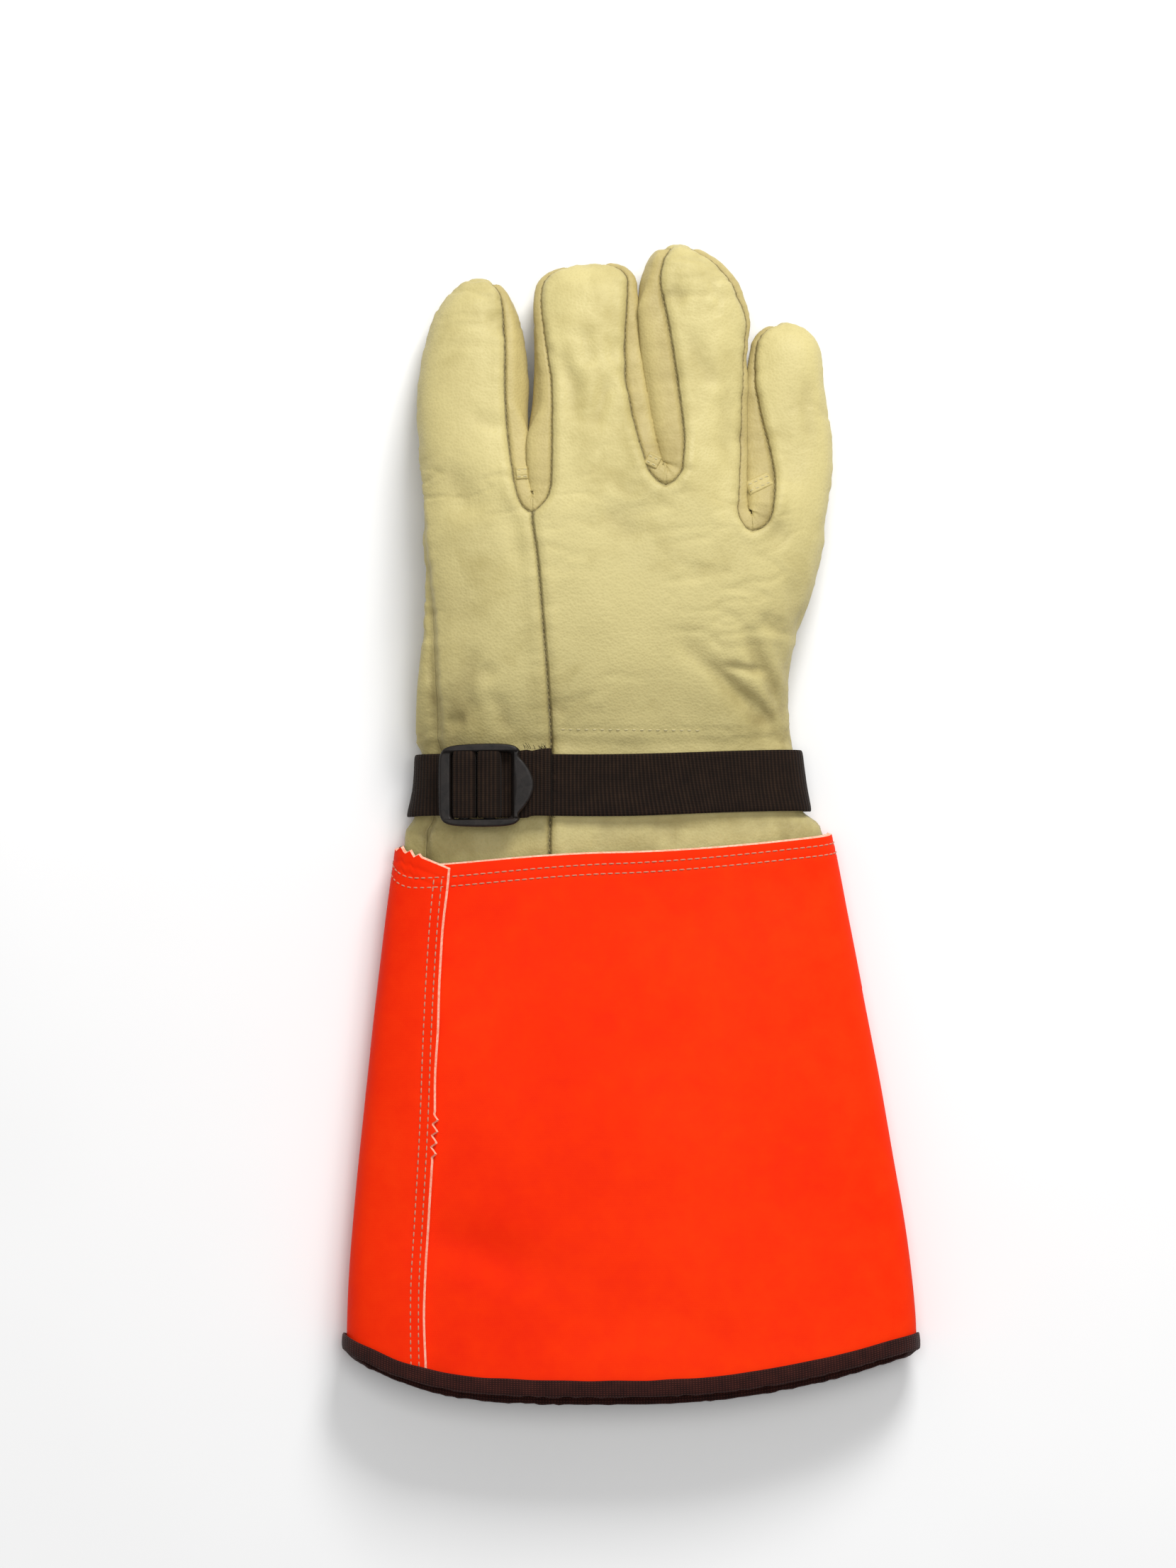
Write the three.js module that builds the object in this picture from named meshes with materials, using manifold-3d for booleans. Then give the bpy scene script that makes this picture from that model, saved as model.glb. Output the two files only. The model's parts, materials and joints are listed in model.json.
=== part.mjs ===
// Right-hand leather protector glove, lying palm down. Millimetres, +Z up, fingers along +Y.
// The origin is on the surface it lies on, below the middle of its length and width.
import * as THREE from 'three';
import { mergeVertices } from 'three/addons/utils/BufferGeometryUtils.js';
import Module from 'manifold-3d';

const wasm = await Module();
wasm.setup();

// Walls and clearances
const LEATHER_WALL = 1.4;
const CUFF_WALL = 1.2;
const STRAP_WALL = 1.3;
const BINDING_WALL = 0.9;
const SEAM_GAP = 0.34;
const STRAP_CLEARANCE = 0.8;
const CORNER_ROOM = 2;
const BINDING_CLEARANCE = 0.6;

// Cuff
const HEM_WIDTH = 188.8;
const CUFF_LENGTH = 180;
const CUFF_TOP_HEIGHT = 29;
const HEM_HEIGHT = 31;
const CUFF_EDGE_HEIGHT = 11;
const LAP_WIDTH = 19;
const LAP_FLARE = 8;
const LAP_TUCK = 9;
const HEM_SAG = 17;
const BINDING_WIDTH = 4.4;

// Hand
const PALM_WIDTH = 131.3;
const HAND_LENGTH = 123.8;
const CUFF_OVERLAP = 11.7;
const KNUCKLE_HEIGHT = 38;

// Thumb, folded in under the palm
const THUMB_WIDTH = 33;
const THUMB_LENGTH = 48;
const THUMB_THICKNESS = 15;
const THUMB_TURN = THREE.MathUtils.degToRad(32);
const THUMB_HOLE_LENGTH = 31;

// Strap and buckle
const STRAP_WIDTH = 20.3;
const STRAP_AHEAD = 21.5;
const BUCKLE_LENGTH = 31.6;
const BUCKLE_WIDTH = 27.4;
const BUCKLE_PLATE = 2;
const BUCKLE_INSET = 25.6;
const RAIL_HEIGHT = 1.4;
const RAIL_EDGE = 0.6;
const TAB_EDGE = 2.4;
const RAIL_WIDTH = 2.8;
const BUCKLE_CORNER = 3;
const TAB_ROUND = 7;

// Fingers: length from the crotch line to the tip, width, depth, and the length of the round tip
const INDEX = { length: 79.3, width: 38.1, depth: 22, tip: 33.7, power: 2, slant: 0 };
const MIDDLE = { length: 77.7, width: 35.6, depth: 23, tip: 9.4, power: 2.6, slant: 0.08 };
const RING = { length: 86.8, width: 37.4, depth: 23, tip: 22.2, power: 2, slant: 0 };
const LITTLE = { length: 70.2, width: 29.5, depth: 20, tip: 10.5, power: 2, slant: 0 };
const TIP_DROP = 12;

// Outline of the hand from the hidden edge (at 0) to the crotch line (at 1), in palm widths.
// fold is the back leather's left edge, bulge the palm leather's, seam the long back seam.
const HAND_OUTLINE = [
  { at: 0.00, bulge: -0.580, fold: -0.500, seam: -0.196, right: 0.490 },
  { at: 0.12, bulge: -0.578, fold: -0.515, seam: -0.196, right: 0.490 },
  { at: 0.18, bulge: -0.572, fold: -0.511, seam: -0.194, right: 0.476 },
  { at: 0.28, bulge: -0.552, fold: -0.497, seam: -0.191, right: 0.440 },
  { at: 0.40, bulge: -0.547, fold: -0.483, seam: -0.192, right: 0.406 },
  { at: 0.55, bulge: -0.545, fold: -0.490, seam: -0.201, right: 0.394 },
  { at: 0.71, bulge: -0.533, fold: -0.497, seam: -0.214, right: 0.408 },
  { at: 0.82, bulge: -0.521, fold: -0.506, seam: -0.222, right: 0.444 },
  { at: 0.92, bulge: -0.520, fold: -0.515, seam: -0.232, right: 0.470 },
  { at: 1.00, bulge: -0.519, fold: -0.518, seam: -0.248, right: 0.487 },
];

// Heights of the hand, in knuckle heights: the crown of the back, the left fold, the bulge,
// the right edge, and the underside at the left, over the thumb, and at the right.
const HAND_HEIGHTS = [
  { at: 0.00, crown: 0.685, fold: 0.400, bulge: 0.300, right: 0.300, lowLeft: 0.065, lowRight: 0.065 },
  { at: 0.15, crown: 0.690, fold: 0.400, bulge: 0.300, right: 0.300, lowLeft: 0.065, lowRight: 0.065 },
  { at: 0.36, crown: 0.705, fold: 0.420, bulge: 0.310, right: 0.330, lowLeft: 0.085, lowRight: 0.075 },
  { at: 0.44, crown: 0.780, fold: 0.540, bulge: 0.440, right: 0.360, lowLeft: 0.270, lowRight: 0.085 },
  { at: 0.54, crown: 0.890, fold: 0.700, bulge: 0.600, right: 0.390, lowLeft: 0.440, lowRight: 0.110 },
  { at: 0.70, crown: 0.970, fold: 0.740, bulge: 0.640, right: 0.420, lowLeft: 0.490, lowRight: 0.150 },
  { at: 0.85, crown: 1.000, fold: 0.730, bulge: 0.620, right: 0.440, lowLeft: 0.490, lowRight: 0.190 },
  { at: 1.00, crown: 0.980, fold: 0.690, bulge: 0.600, right: 0.450, lowLeft: 0.480, lowRight: 0.220 },
];

// The crotch line: where each finger boundary lies across and ahead of it, in palm widths
const CROTCHES = [
  { across: -0.518, ahead: -0.034 },
  { across: -0.248, ahead: 0.000 },
  { across: 0.089, ahead: 0.075 },
  { across: 0.301, ahead: -0.043 },
  { across: 0.487, ahead: -0.070 },
];

// Outlines of the fingers from the crotch line to the tip, in finger widths from their root's
// middle: the two sides, and the two seams on the back. The round tip narrows them further.
const INDEX_OUTLINE = [
  { at: 0.00, left: -0.442, seamLeft: -0.442, seamRight: 0.387, right: 0.420 },
  { at: 0.06, left: -0.460, seamLeft: -0.460, seamRight: 0.374, right: 0.438 },
  { at: 0.18, left: -0.479, seamLeft: -0.479, seamRight: 0.331, right: 0.436 },
  { at: 0.34, left: -0.503, seamLeft: -0.503, seamRight: 0.294, right: 0.414 },
  { at: 0.54, left: -0.515, seamLeft: -0.515, seamRight: 0.258, right: 0.469 },
  { at: 0.76, left: -0.491, seamLeft: -0.491, seamRight: 0.294, right: 0.491 },
  { at: 1.00, left: -0.479, seamLeft: -0.479, seamRight: 0.466, right: 0.521 },
];
const MIDDLE_OUTLINE = [
  { at: 0.00, left: -0.550, seamLeft: -0.480, seamRight: 0.510, right: 0.540 },
  { at: 0.17, left: -0.632, seamLeft: -0.447, seamRight: 0.408, right: 0.500 },
  { at: 0.29, left: -0.638, seamLeft: -0.441, seamRight: 0.342, right: 0.460 },
  { at: 0.46, left: -0.602, seamLeft: -0.434, seamRight: 0.263, right: 0.404 },
  { at: 0.61, left: -0.612, seamLeft: -0.480, seamRight: 0.250, right: 0.368 },
  { at: 0.75, left: -0.625, seamLeft: -0.553, seamRight: 0.263, right: 0.341 },
  { at: 1.00, left: -0.612, seamLeft: -0.590, seamRight: 0.340, right: 0.372 },
];
const RING_OUTLINE = [
  { at: 0.00, left: -0.265, seamLeft: -0.200, seamRight: 0.252, right: 0.265 },
  { at: 0.12, left: -0.331, seamLeft: -0.206, seamRight: 0.262, right: 0.290 },
  { at: 0.24, left: -0.424, seamLeft: -0.181, seamRight: 0.287, right: 0.315 },
  { at: 0.40, left: -0.484, seamLeft: -0.225, seamRight: 0.300, right: 0.322 },
  { at: 0.51, left: -0.526, seamLeft: -0.256, seamRight: 0.300, right: 0.326 },
  { at: 0.65, left: -0.572, seamLeft: -0.312, seamRight: 0.331, right: 0.362 },
  { at: 0.75, left: -0.588, seamLeft: -0.350, seamRight: 0.362, right: 0.412 },
  { at: 0.85, left: -0.637, seamLeft: -0.450, seamRight: 0.319, right: 0.381 },
  { at: 1.00, left: -0.744, seamLeft: -0.494, seamRight: 0.188, right: 0.256 },
];
const LITTLE_OUTLINE = [
  { at: 0.00, left: -0.335, seamLeft: -0.270, seamRight: 0.357, right: 0.357 },
  { at: 0.20, left: -0.480, seamLeft: -0.175, seamRight: 0.444, right: 0.444 },
  { at: 0.36, left: -0.496, seamLeft: -0.206, seamRight: 0.500, right: 0.500 },
  { at: 0.50, left: -0.496, seamLeft: -0.310, seamRight: 0.476, right: 0.476 },
  { at: 0.70, left: -0.484, seamLeft: -0.421, seamRight: 0.397, right: 0.397 },
  { at: 1.00, left: -0.464, seamLeft: -0.440, seamRight: 0.357, right: 0.357 },
];

// Where each finger's root lies across and ahead of the crotch line, in palm widths, how high
// its underside is there, in knuckle heights, and its depth there, in finger depths
const FINGERS = [
  { ...INDEX, outline: INDEX_OUTLINE, across: -0.390, ahead: -0.016, rootLow: 0.480, rootDepth: 0.80 },
  { ...MIDDLE, outline: MIDDLE_OUTLINE, across: -0.082, ahead: 0.037, rootLow: 0.450, rootDepth: 0.86 },
  { ...RING, outline: RING_OUTLINE, across: 0.184, ahead: 0.016, rootLow: 0.350, rootDepth: 0.94 },
  { ...LITTLE, outline: LITTLE_OUTLINE, across: 0.396, ahead: -0.052, rootLow: 0.230, rootDepth: 0.90 },
];

// Sides of the cuff from its top edge (at 0) to its hem (at 1), in hem widths
const CUFF_OUTLINE = [
  { at: -0.04, left: -0.409, right: 0.349 },
  { at: 0.00, left: -0.414, right: 0.358 },
  { at: 0.15, left: -0.434, right: 0.385 },
  { at: 0.46, left: -0.467, right: 0.440 },
  { at: 0.77, left: -0.494, right: 0.487 },
  { at: 1.00, left: -0.500, right: 0.502 },
];

// How far the cuff's top edge lies ahead of its middle, in hem widths, by the turn round the
// glove: 0 at the right side, 0.25 on the back, 0.5 at the left side and 0.75 underneath
const CUFF_TOP_EDGE = [
  { at: 0.00, ahead: 0.038 },
  { at: 0.12, ahead: 0.026 },
  { at: 0.25, ahead: 0.005 },
  { at: 0.41, ahead: -0.017 },
  { at: 0.50, ahead: 0.012 },
  { at: 0.75, ahead: 0.014 },
  { at: 1.00, ahead: 0.038 },
];

// Section shapes: the exponents of the super-ellipses on the back, underneath and of a finger
const BACK_ROUND = 2.8;
const UNDER_ROUND = 3.2;
const FINGER_ROUND = 2.3;
const THUMB_ROUND = 2.6;

// Mesh density
const WRIST_ROWS = 2;
const PALM_ROWS = 9;
const TOP_COLUMNS = [5, 4, 4, 5];
const UNDER_COLUMNS = [6, 4, 4, 5];
const SHELF_COLUMNS = 2;
const SIDE_COLUMNS = 3;
const THUMB_HOLE_ROWS = [5, 9];
const THUMB_HOLE_COLUMNS = [0, 4];
const CUFF_COLUMNS = 46;
const CUFF_ROWS = 9;
const BINDING_COLUMNS = 46;
const STRAP_STEPS = 48;

const TURN = 2 * Math.PI;
const DEGREE = Math.PI / 180;

// Lengths along the glove that follow from the sizes
const ringFinger = FINGERS[2];
const fullLength = CUFF_LENGTH + HAND_LENGTH - CUFF_OVERLAP + ringFinger.ahead * PALM_WIDTH + RING.length;
const hemY = -fullLength / 2;
const cuffTopY = hemY + CUFF_LENGTH;
const handY = cuffTopY - CUFF_OVERLAP;
const crotchY = handY + HAND_LENGTH;
const strapY = cuffTopY + STRAP_AHEAD;

const mix = (a, b, t) => a + (b - a) * t;
const clamp = (value, low, high) => Math.min(Math.max(value, low), high);

function ease(value) {
  const t = clamp(value, 0, 1);
  return t * t * (3 - 2 * t);
}

// Smooth reading of one column of a table
function read(table, at, column) {
  const last = table.length - 1;
  const place = clamp(at, table[0].at, table[last].at);
  let i = 0;
  while (i < last - 1 && place > table[i + 1].at) i += 1;
  const slope = (k) => {
    const before = table[Math.max(k - 1, 0)];
    const after = table[Math.min(k + 1, last)];
    return (after[column] - before[column]) / (after.at - before.at);
  };
  const span = table[i + 1].at - table[i].at;
  const t = (place - table[i].at) / span;
  const start = table[i][column];
  const end = table[i + 1][column];
  const a = slope(i) * span;
  const b = slope(i + 1) * span;
  const curve = 2 * (start - end) + a + b;
  const bend = 3 * (end - start) - 2 * a - b;
  return start + a * t + bend * t * t + curve * t * t * t;
}

// Super-ellipse: a round shape that gets squarer with the exponent
const squareCos = (angle, power) => Math.sign(Math.cos(angle)) * Math.abs(Math.cos(angle)) ** (2 / power);
const squareSin = (angle, power) => Math.sign(Math.sin(angle)) * Math.abs(Math.sin(angle)) ** (2 / power);

function angleAt(share, power) {
  const limited = clamp(share, -1, 1);
  return Math.acos(Math.sign(limited) * Math.abs(limited) ** (power / 2));
}

// Section of the hand at one place along it
function handSection(at) {
  const size = { at };
  for (const column of ['bulge', 'fold', 'seam', 'right']) {
    size[column] = read(HAND_OUTLINE, at, column) * PALM_WIDTH;
  }
  for (const [name, column] of [['crown', 'crown'], ['foldZ', 'fold'], ['bulgeZ', 'bulge'], ['rightZ', 'right'],
    ['lowLeft', 'lowLeft'], ['lowRight', 'lowRight']]) {
    size[name] = read(HAND_HEIGHTS, at, column) * KNUCKLE_HEIGHT;
  }
  return size;
}

// Finger boundaries across the hand: even at the wrist, at the crotches at the far end
function boundaryX(section, boundary) {
  if (boundary === 0) return section.fold;
  if (boundary === 1) return section.seam;
  if (boundary === 4) return section.right;
  const even = mix(section.seam, section.right, boundary === 2 ? 0.44 : 0.73);
  return mix(even, CROTCHES[boundary].across * PALM_WIDTH, ease(section.at));
}

function backPoint(section, angle, leftX, leftZ) {
  const middle = (leftX + section.right) / 2;
  const half = (section.right - leftX) / 2;
  const x = middle + half * squareCos(angle, BACK_ROUND);
  const edge = mix(section.rightZ, leftZ, (section.right - x) / (2 * half));
  return [x, edge + (section.crown - edge) * squareSin(angle, BACK_ROUND)];
}

function underPoint(section, angle) {
  const middle = (section.bulge + section.right) / 2;
  const half = (section.right - section.bulge) / 2;
  const x = middle + half * squareCos(angle, UNDER_ROUND);
  const across = (x - section.bulge) / (2 * half);
  const edge = mix(section.bulgeZ, section.rightZ, across);
  const low = mix(section.lowLeft, section.lowRight, ease((across - 0.5) / 0.45));
  return [x, edge - (edge - low) * squareSin(angle, UNDER_ROUND)];
}

function underAngle(section, x) {
  const middle = (section.bulge + section.right) / 2;
  const half = (section.right - section.bulge) / 2;
  return angleAt((x - middle) / half, UNDER_ROUND);
}

// Row lines run level at the wrist and bend to the crotches at the far end
function rowY(section, x) {
  let boundary = 0;
  while (boundary < 3 && x > CROTCHES[boundary + 1].across * PALM_WIDTH) boundary += 1;
  const from = CROTCHES[boundary];
  const to = CROTCHES[boundary + 1];
  const t = clamp((x / PALM_WIDTH - from.across) / (to.across - from.across), 0, 1);
  const ahead = mix(from.ahead, to.ahead, ease(t)) * PALM_WIDTH;
  return handY + HAND_LENGTH * section.at + ahead * ease(section.at);
}

// A skin is one surface with shared points, whose faces belong to named panels
class Skin {
  points = [];
  faces = [];

  add(x, y, z) {
    this.points.push(new THREE.Vector3(x, y, z));
    return this.points.length - 1;
  }

  face(panel, ...corners) {
    this.faces.push({ panel, corners });
  }

  // Outward normals, and how far a point moves along its own to set all its faces back by one
  measure() {
    this.normals = this.points.map(() => new THREE.Vector3());
    this.around = this.points.map(() => []);
    for (const face of this.faces) {
      const corners = face.corners.map((index) => this.points[index]);
      const normal = new THREE.Vector3();
      for (let i = 1; i < corners.length - 1; i += 1) {
        const first = corners[i].clone().sub(corners[0]);
        normal.add(first.cross(corners[i + 1].clone().sub(corners[0])));
      }
      face.normal = normal.normalize();
      face.corners.forEach((index, i) => {
        const before = corners[(i + corners.length - 1) % corners.length];
        const after = corners[(i + 1) % corners.length];
        const angle = before.clone().sub(corners[i]).angleTo(after.clone().sub(corners[i]));
        this.normals[index].addScaledVector(face.normal, angle);
        this.around[index].push(face);
      });
    }
    this.normals.forEach((normal) => normal.normalize());
    this.mitres = this.points.map((point, index) => {
      const spread = this.around[index].map((face) => face.normal.dot(this.normals[index]));
      const mean = spread.reduce((sum, value) => sum + value, 0) / Math.max(spread.length, 1);
      return 1 / clamp(mean, 0.6, 1);
    });
  }

  // One panel as a closed wall, set back from its seams by half the seam gap
  wall(panel, thickness, gap) {
    const faces = this.faces.filter((face) => face.panel === panel);
    const edges = new Map();
    for (const face of faces) {
      face.corners.forEach((from, i) => {
        const to = face.corners[(i + 1) % face.corners.length];
        if (!edges.delete(`${to},${from}`)) edges.set(`${from},${to}`, { from, to, face });
      });
    }
    const inward = new Map();
    for (const { from, to, face } of edges.values()) {
      const run = this.points[to].clone().sub(this.points[from]).normalize();
      const aside = face.normal.clone().cross(run).normalize();
      for (const index of [from, to]) {
        if (!inward.has(index)) inward.set(index, []);
        inward.get(index).push(aside);
      }
    }
    const positions = [];
    const places = new Map();
    for (const face of faces) {
      for (const index of face.corners) {
        if (places.has(index)) continue;
        places.set(index, positions.length / 6);
        const shift = new THREE.Vector3();
        const asides = inward.get(index) ?? [];
        asides.forEach((aside) => shift.add(aside));
        if (asides.length > 1) {
          const cosine = asides.reduce((sum, aside) => sum + aside.dot(shift), 0) / asides.length;
          shift.multiplyScalar(1 / Math.max(cosine, 0.35));
        }
        const foreign = this.around[index].filter((other) => other.panel !== panel);
        let open = 1;
        for (const other of foreign) {
          const bend = this.meanNormal(index, panel).dot(other.normal);
          open = Math.min(open, Math.sqrt(clamp((1 + bend) / 2, 0.12, 1)));
        }
        const neighbours = new Set(foreign.map((other) => other.panel)).size;
        shift.multiplyScalar((gap / 2 / open) * (neighbours > 1 ? CORNER_ROOM : 1));
        const outer = this.points[index].clone().add(shift);
        const inner = outer.clone().addScaledVector(this.normals[index], -thickness * this.mitres[index]);
        positions.push(...outer.toArray(), ...inner.toArray());
      }
    }
    const triangles = [];
    const outerOf = (index) => 2 * places.get(index);
    for (const face of faces) {
      const corners = face.corners.map(outerOf);
      for (let i = 1; i < corners.length - 1; i += 1) {
        triangles.push(corners[0], corners[i], corners[i + 1]);
        triangles.push(corners[0] + 1, corners[i + 1] + 1, corners[i] + 1);
      }
    }
    for (const { from, to } of edges.values()) {
      const a = outerOf(from);
      const b = outerOf(to);
      triangles.push(b, a, a + 1, b, a + 1, b + 1);
    }
    return solid(positions, triangles);
  }

  meanNormal(index, panel) {
    const sum = new THREE.Vector3();
    for (const face of this.around[index]) {
      if (face.panel === panel) sum.add(face.normal);
    }
    return sum.normalize();
  }
}

function solid(positions, triangles) {
  const geometry = new THREE.BufferGeometry();
  geometry.setAttribute('position', new THREE.Float32BufferAttribute(positions, 3));
  geometry.setIndex(triangles);
  geometry.computeVertexNormals();
  return geometry;
}

// A closed wall between two grids of points, both given as rows of columns
function sheet(outer, inner, closed = false) {
  const rows = outer.length;
  const columns = outer[0].length;
  const positions = [...outer.flat(2), ...inner.flat(2)];
  const out = (row, column) => (row % rows) * columns + column;
  const inn = (row, column) => rows * columns + out(row, column);
  const triangles = [];
  const quad = (a, b, c, d) => triangles.push(a, b, c, a, c, d);
  for (let row = 0; row < (closed ? rows : rows - 1); row += 1) {
    for (let column = 0; column < columns - 1; column += 1) {
      quad(out(row, column), out(row + 1, column), out(row + 1, column + 1), out(row, column + 1));
      quad(inn(row, column), inn(row, column + 1), inn(row + 1, column + 1), inn(row + 1, column));
    }
    quad(out(row, 0), inn(row, 0), inn(row + 1, 0), out(row + 1, 0));
    const end = columns - 1;
    quad(out(row, end), out(row + 1, end), inn(row + 1, end), inn(row, end));
  }
  if (!closed) {
    for (let column = 0; column < columns - 1; column += 1) {
      const last = rows - 1;
      quad(out(0, column), out(0, column + 1), inn(0, column + 1), inn(0, column));
      quad(out(last, column), inn(last, column), inn(last, column + 1), out(last, column + 1));
    }
  }
  return solid(positions, triangles);
}

// Panels that the four fingers' surfaces belong to
const BACK_OF = ['index_back_panel', 'back_panel', 'back_panel', 'back_panel'];
const GAP_SIDES = [
  { left: 'fourchette_index_inner', right: 'fourchette_middle_outer' },
  { left: 'fourchette_middle_inner', right: 'fourchette_ring_outer' },
  { left: 'fourchette_ring_inner', right: 'fourchette_little_outer' },
];

const skin = new Skin();

// One ring of points round the hand: over the back from left to right, then underneath
function handRing(at) {
  const section = handSection(at);
  const place = ([x, z]) => skin.add(x, rowY(section, x), z);
  const middle = (section.fold + section.right) / 2;
  const half = (section.right - section.fold) / 2;
  const back = [];
  const under = [];
  for (let finger = 0; finger < 4; finger += 1) {
    const from = angleAt((boundaryX(section, finger) - middle) / half, BACK_ROUND);
    const to = angleAt((boundaryX(section, finger + 1) - middle) / half, BACK_ROUND);
    const count = TOP_COLUMNS[finger];
    const row = [finger === 0 ? null : back[finger - 1][TOP_COLUMNS[finger - 1]]];
    for (let i = finger === 0 ? 0 : 1; i <= count; i += 1) {
      row[i] = place(backPoint(section, mix(from, to, i / count), section.fold, section.foldZ));
    }
    back.push(row);
  }
  for (let finger = 3; finger >= 0; finger -= 1) {
    const from = finger === 3 ? 0 : underAngle(section, boundaryX(section, finger + 1));
    const to = finger === 0 ? Math.PI : underAngle(section, boundaryX(section, finger));
    const count = UNDER_COLUMNS[finger];
    const row = [finger === 3 ? back[3][TOP_COLUMNS[3]] : under[finger + 1].at(-1)];
    for (let i = 1; i <= count; i += 1) {
      row[i] = place(underPoint(section, mix(from, to, i / count)));
    }
    under[finger] = row;
  }
  for (let i = 1; i < SHELF_COLUMNS; i += 1) {
    const angle = (Math.PI / 2) * (i / SHELF_COLUMNS);
    const x = section.fold - (section.fold - section.bulge) * Math.cos(angle);
    under[0].push(place([x, section.bulgeZ + (section.foldZ - section.bulgeZ) * Math.sin(angle)]));
  }
  under[0].push(back[0][0]);
  return { section, back, under };
}

// Rows of points along the hand, with one along each edge and the middle of the strap
const strapShare = (share) => (strapY + share * STRAP_WIDTH - handY) / HAND_LENGTH;
const handStations = [strapShare(-0.5), strapShare(0), strapShare(0.5)];
for (let row = WRIST_ROWS - 1; row >= 0; row -= 1) handStations.unshift(strapShare(-0.5) * (row / WRIST_ROWS));
for (let row = 1; row <= PALM_ROWS; row += 1) handStations.push(mix(strapShare(0.5), 1, row / PALM_ROWS));
const lastRow = handStations.length - 1;
const rings = handStations.map(handRing);

// The thumb hole is rounded by pulling the points round it onto an oval
const holeTurn = new THREE.Vector3(Math.sin(THUMB_TURN), Math.cos(THUMB_TURN), 0);
const holeSide = new THREE.Vector3(Math.cos(THUMB_TURN), -Math.sin(THUMB_TURN), 0);
const holeRing = [];
for (let column = THUMB_HOLE_COLUMNS[0]; column < THUMB_HOLE_COLUMNS[1]; column += 1) {
  holeRing.push(rings[THUMB_HOLE_ROWS[1]].under[0][column]);
}
for (let row = THUMB_HOLE_ROWS[1]; row > THUMB_HOLE_ROWS[0]; row -= 1) {
  holeRing.push(rings[row].under[0][THUMB_HOLE_COLUMNS[1]]);
}
for (let column = THUMB_HOLE_COLUMNS[1]; column > THUMB_HOLE_COLUMNS[0]; column -= 1) {
  holeRing.push(rings[THUMB_HOLE_ROWS[0]].under[0][column]);
}
for (let row = THUMB_HOLE_ROWS[0]; row < THUMB_HOLE_ROWS[1]; row += 1) {
  holeRing.push(rings[row].under[0][THUMB_HOLE_COLUMNS[0]]);
}
const holeMiddle = new THREE.Vector3();
holeRing.forEach((index) => holeMiddle.addScaledVector(skin.points[index], 1 / holeRing.length));

const holeAngles = holeRing.map((index) => {
  const away = skin.points[index].clone().sub(holeMiddle);
  return Math.atan2(away.dot(holeTurn) / THUMB_HOLE_LENGTH, away.dot(holeSide) / THUMB_WIDTH);
});
holeRing.forEach((index, i) => {
  const point = skin.points[index];
  const across = (THUMB_WIDTH / 2) * squareCos(holeAngles[i], THUMB_ROUND);
  const along = (THUMB_HOLE_LENGTH / 2) * squareSin(holeAngles[i], THUMB_ROUND);
  point.x = holeMiddle.x + holeSide.x * across + holeTurn.x * along;
  point.y = holeMiddle.y + holeSide.y * across + holeTurn.y * along;
});

const inHole = (row, column) => row >= THUMB_HOLE_ROWS[0] && row < THUMB_HOLE_ROWS[1]
  && column >= THUMB_HOLE_COLUMNS[0] && column < THUMB_HOLE_COLUMNS[1];

for (let row = 0; row < lastRow; row += 1) {
  for (let finger = 0; finger < 4; finger += 1) {
    const near = rings[row];
    const far = rings[row + 1];
    for (let i = 0; i < near.back[finger].length - 1; i += 1) {
      skin.face(BACK_OF[finger], near.back[finger][i], near.back[finger][i + 1],
        far.back[finger][i + 1], far.back[finger][i]);
    }
    for (let i = 0; i < near.under[finger].length - 1; i += 1) {
      if (finger === 0 && inHole(row, i)) continue;
      skin.face('palm_panel', near.under[finger][i], near.under[finger][i + 1],
        far.under[finger][i + 1], far.under[finger][i]);
    }
  }
}

// Points down each crotch, from the back to the palm, shared by the strips on its two sides
const lastRing = rings[lastRow];
const crotchLines = [1, 2, 3].map((boundary) => {
  const top = lastRing.back[boundary][0];
  const bottom = lastRing.under[boundary].at(-1);
  const line = [top];
  for (let i = 1; i < SIDE_COLUMNS; i += 1) {
    const point = skin.points[top].clone().lerp(skin.points[bottom], i / SIDE_COLUMNS);
    line.push(skin.add(point.x, point.y, point.z));
  }
  line.push(bottom);
  return line;
});

// Size of a finger's section at a share of its length
function fingerSection(finger, at) {
  const reach = finger.length * (1 - at);
  const round = (length, power) => {
    if (reach >= length) return 1;
    return (1 - (1 - reach / length) ** power) ** (1 / power);
  };
  const left = read(finger.outline, at, 'left') * finger.width;
  const right = read(finger.outline, at, 'right') * finger.width;
  const half = (right - left) / 2;
  const middle = (right + left) / 2;
  const low = finger.rootLow * KNUCKLE_HEIGHT * (1 - at) ** 1.6;
  const depth = finger.depth * mix(finger.rootDepth, 1, ease(at / 0.3)) * mix(1, 0.85, ease((at - 0.6) / 0.4));
  const seamShare = (column) => (read(finger.outline, at, column) * finger.width - middle) / half;
  return {
    x: finger.across * PALM_WIDTH + middle,
    y: crotchY + finger.ahead * PALM_WIDTH + finger.length * at,
    z: low + depth / 2,
    half: half * round(finger.tip, finger.power),
    rise: (depth / 2) * round(TIP_DROP, 2),
    left: seamShare('seamLeft'),
    right: seamShare('seamRight'),
    slant: finger.slant * ease((at - 0.7) / 0.3),
  };
}

const FIRST_UNDER_SEAM = -38 * DEGREE;
const LAST_UNDER_SEAM = -142 * DEGREE;
const OUTER_SEAM = -12 * DEGREE;

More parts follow.
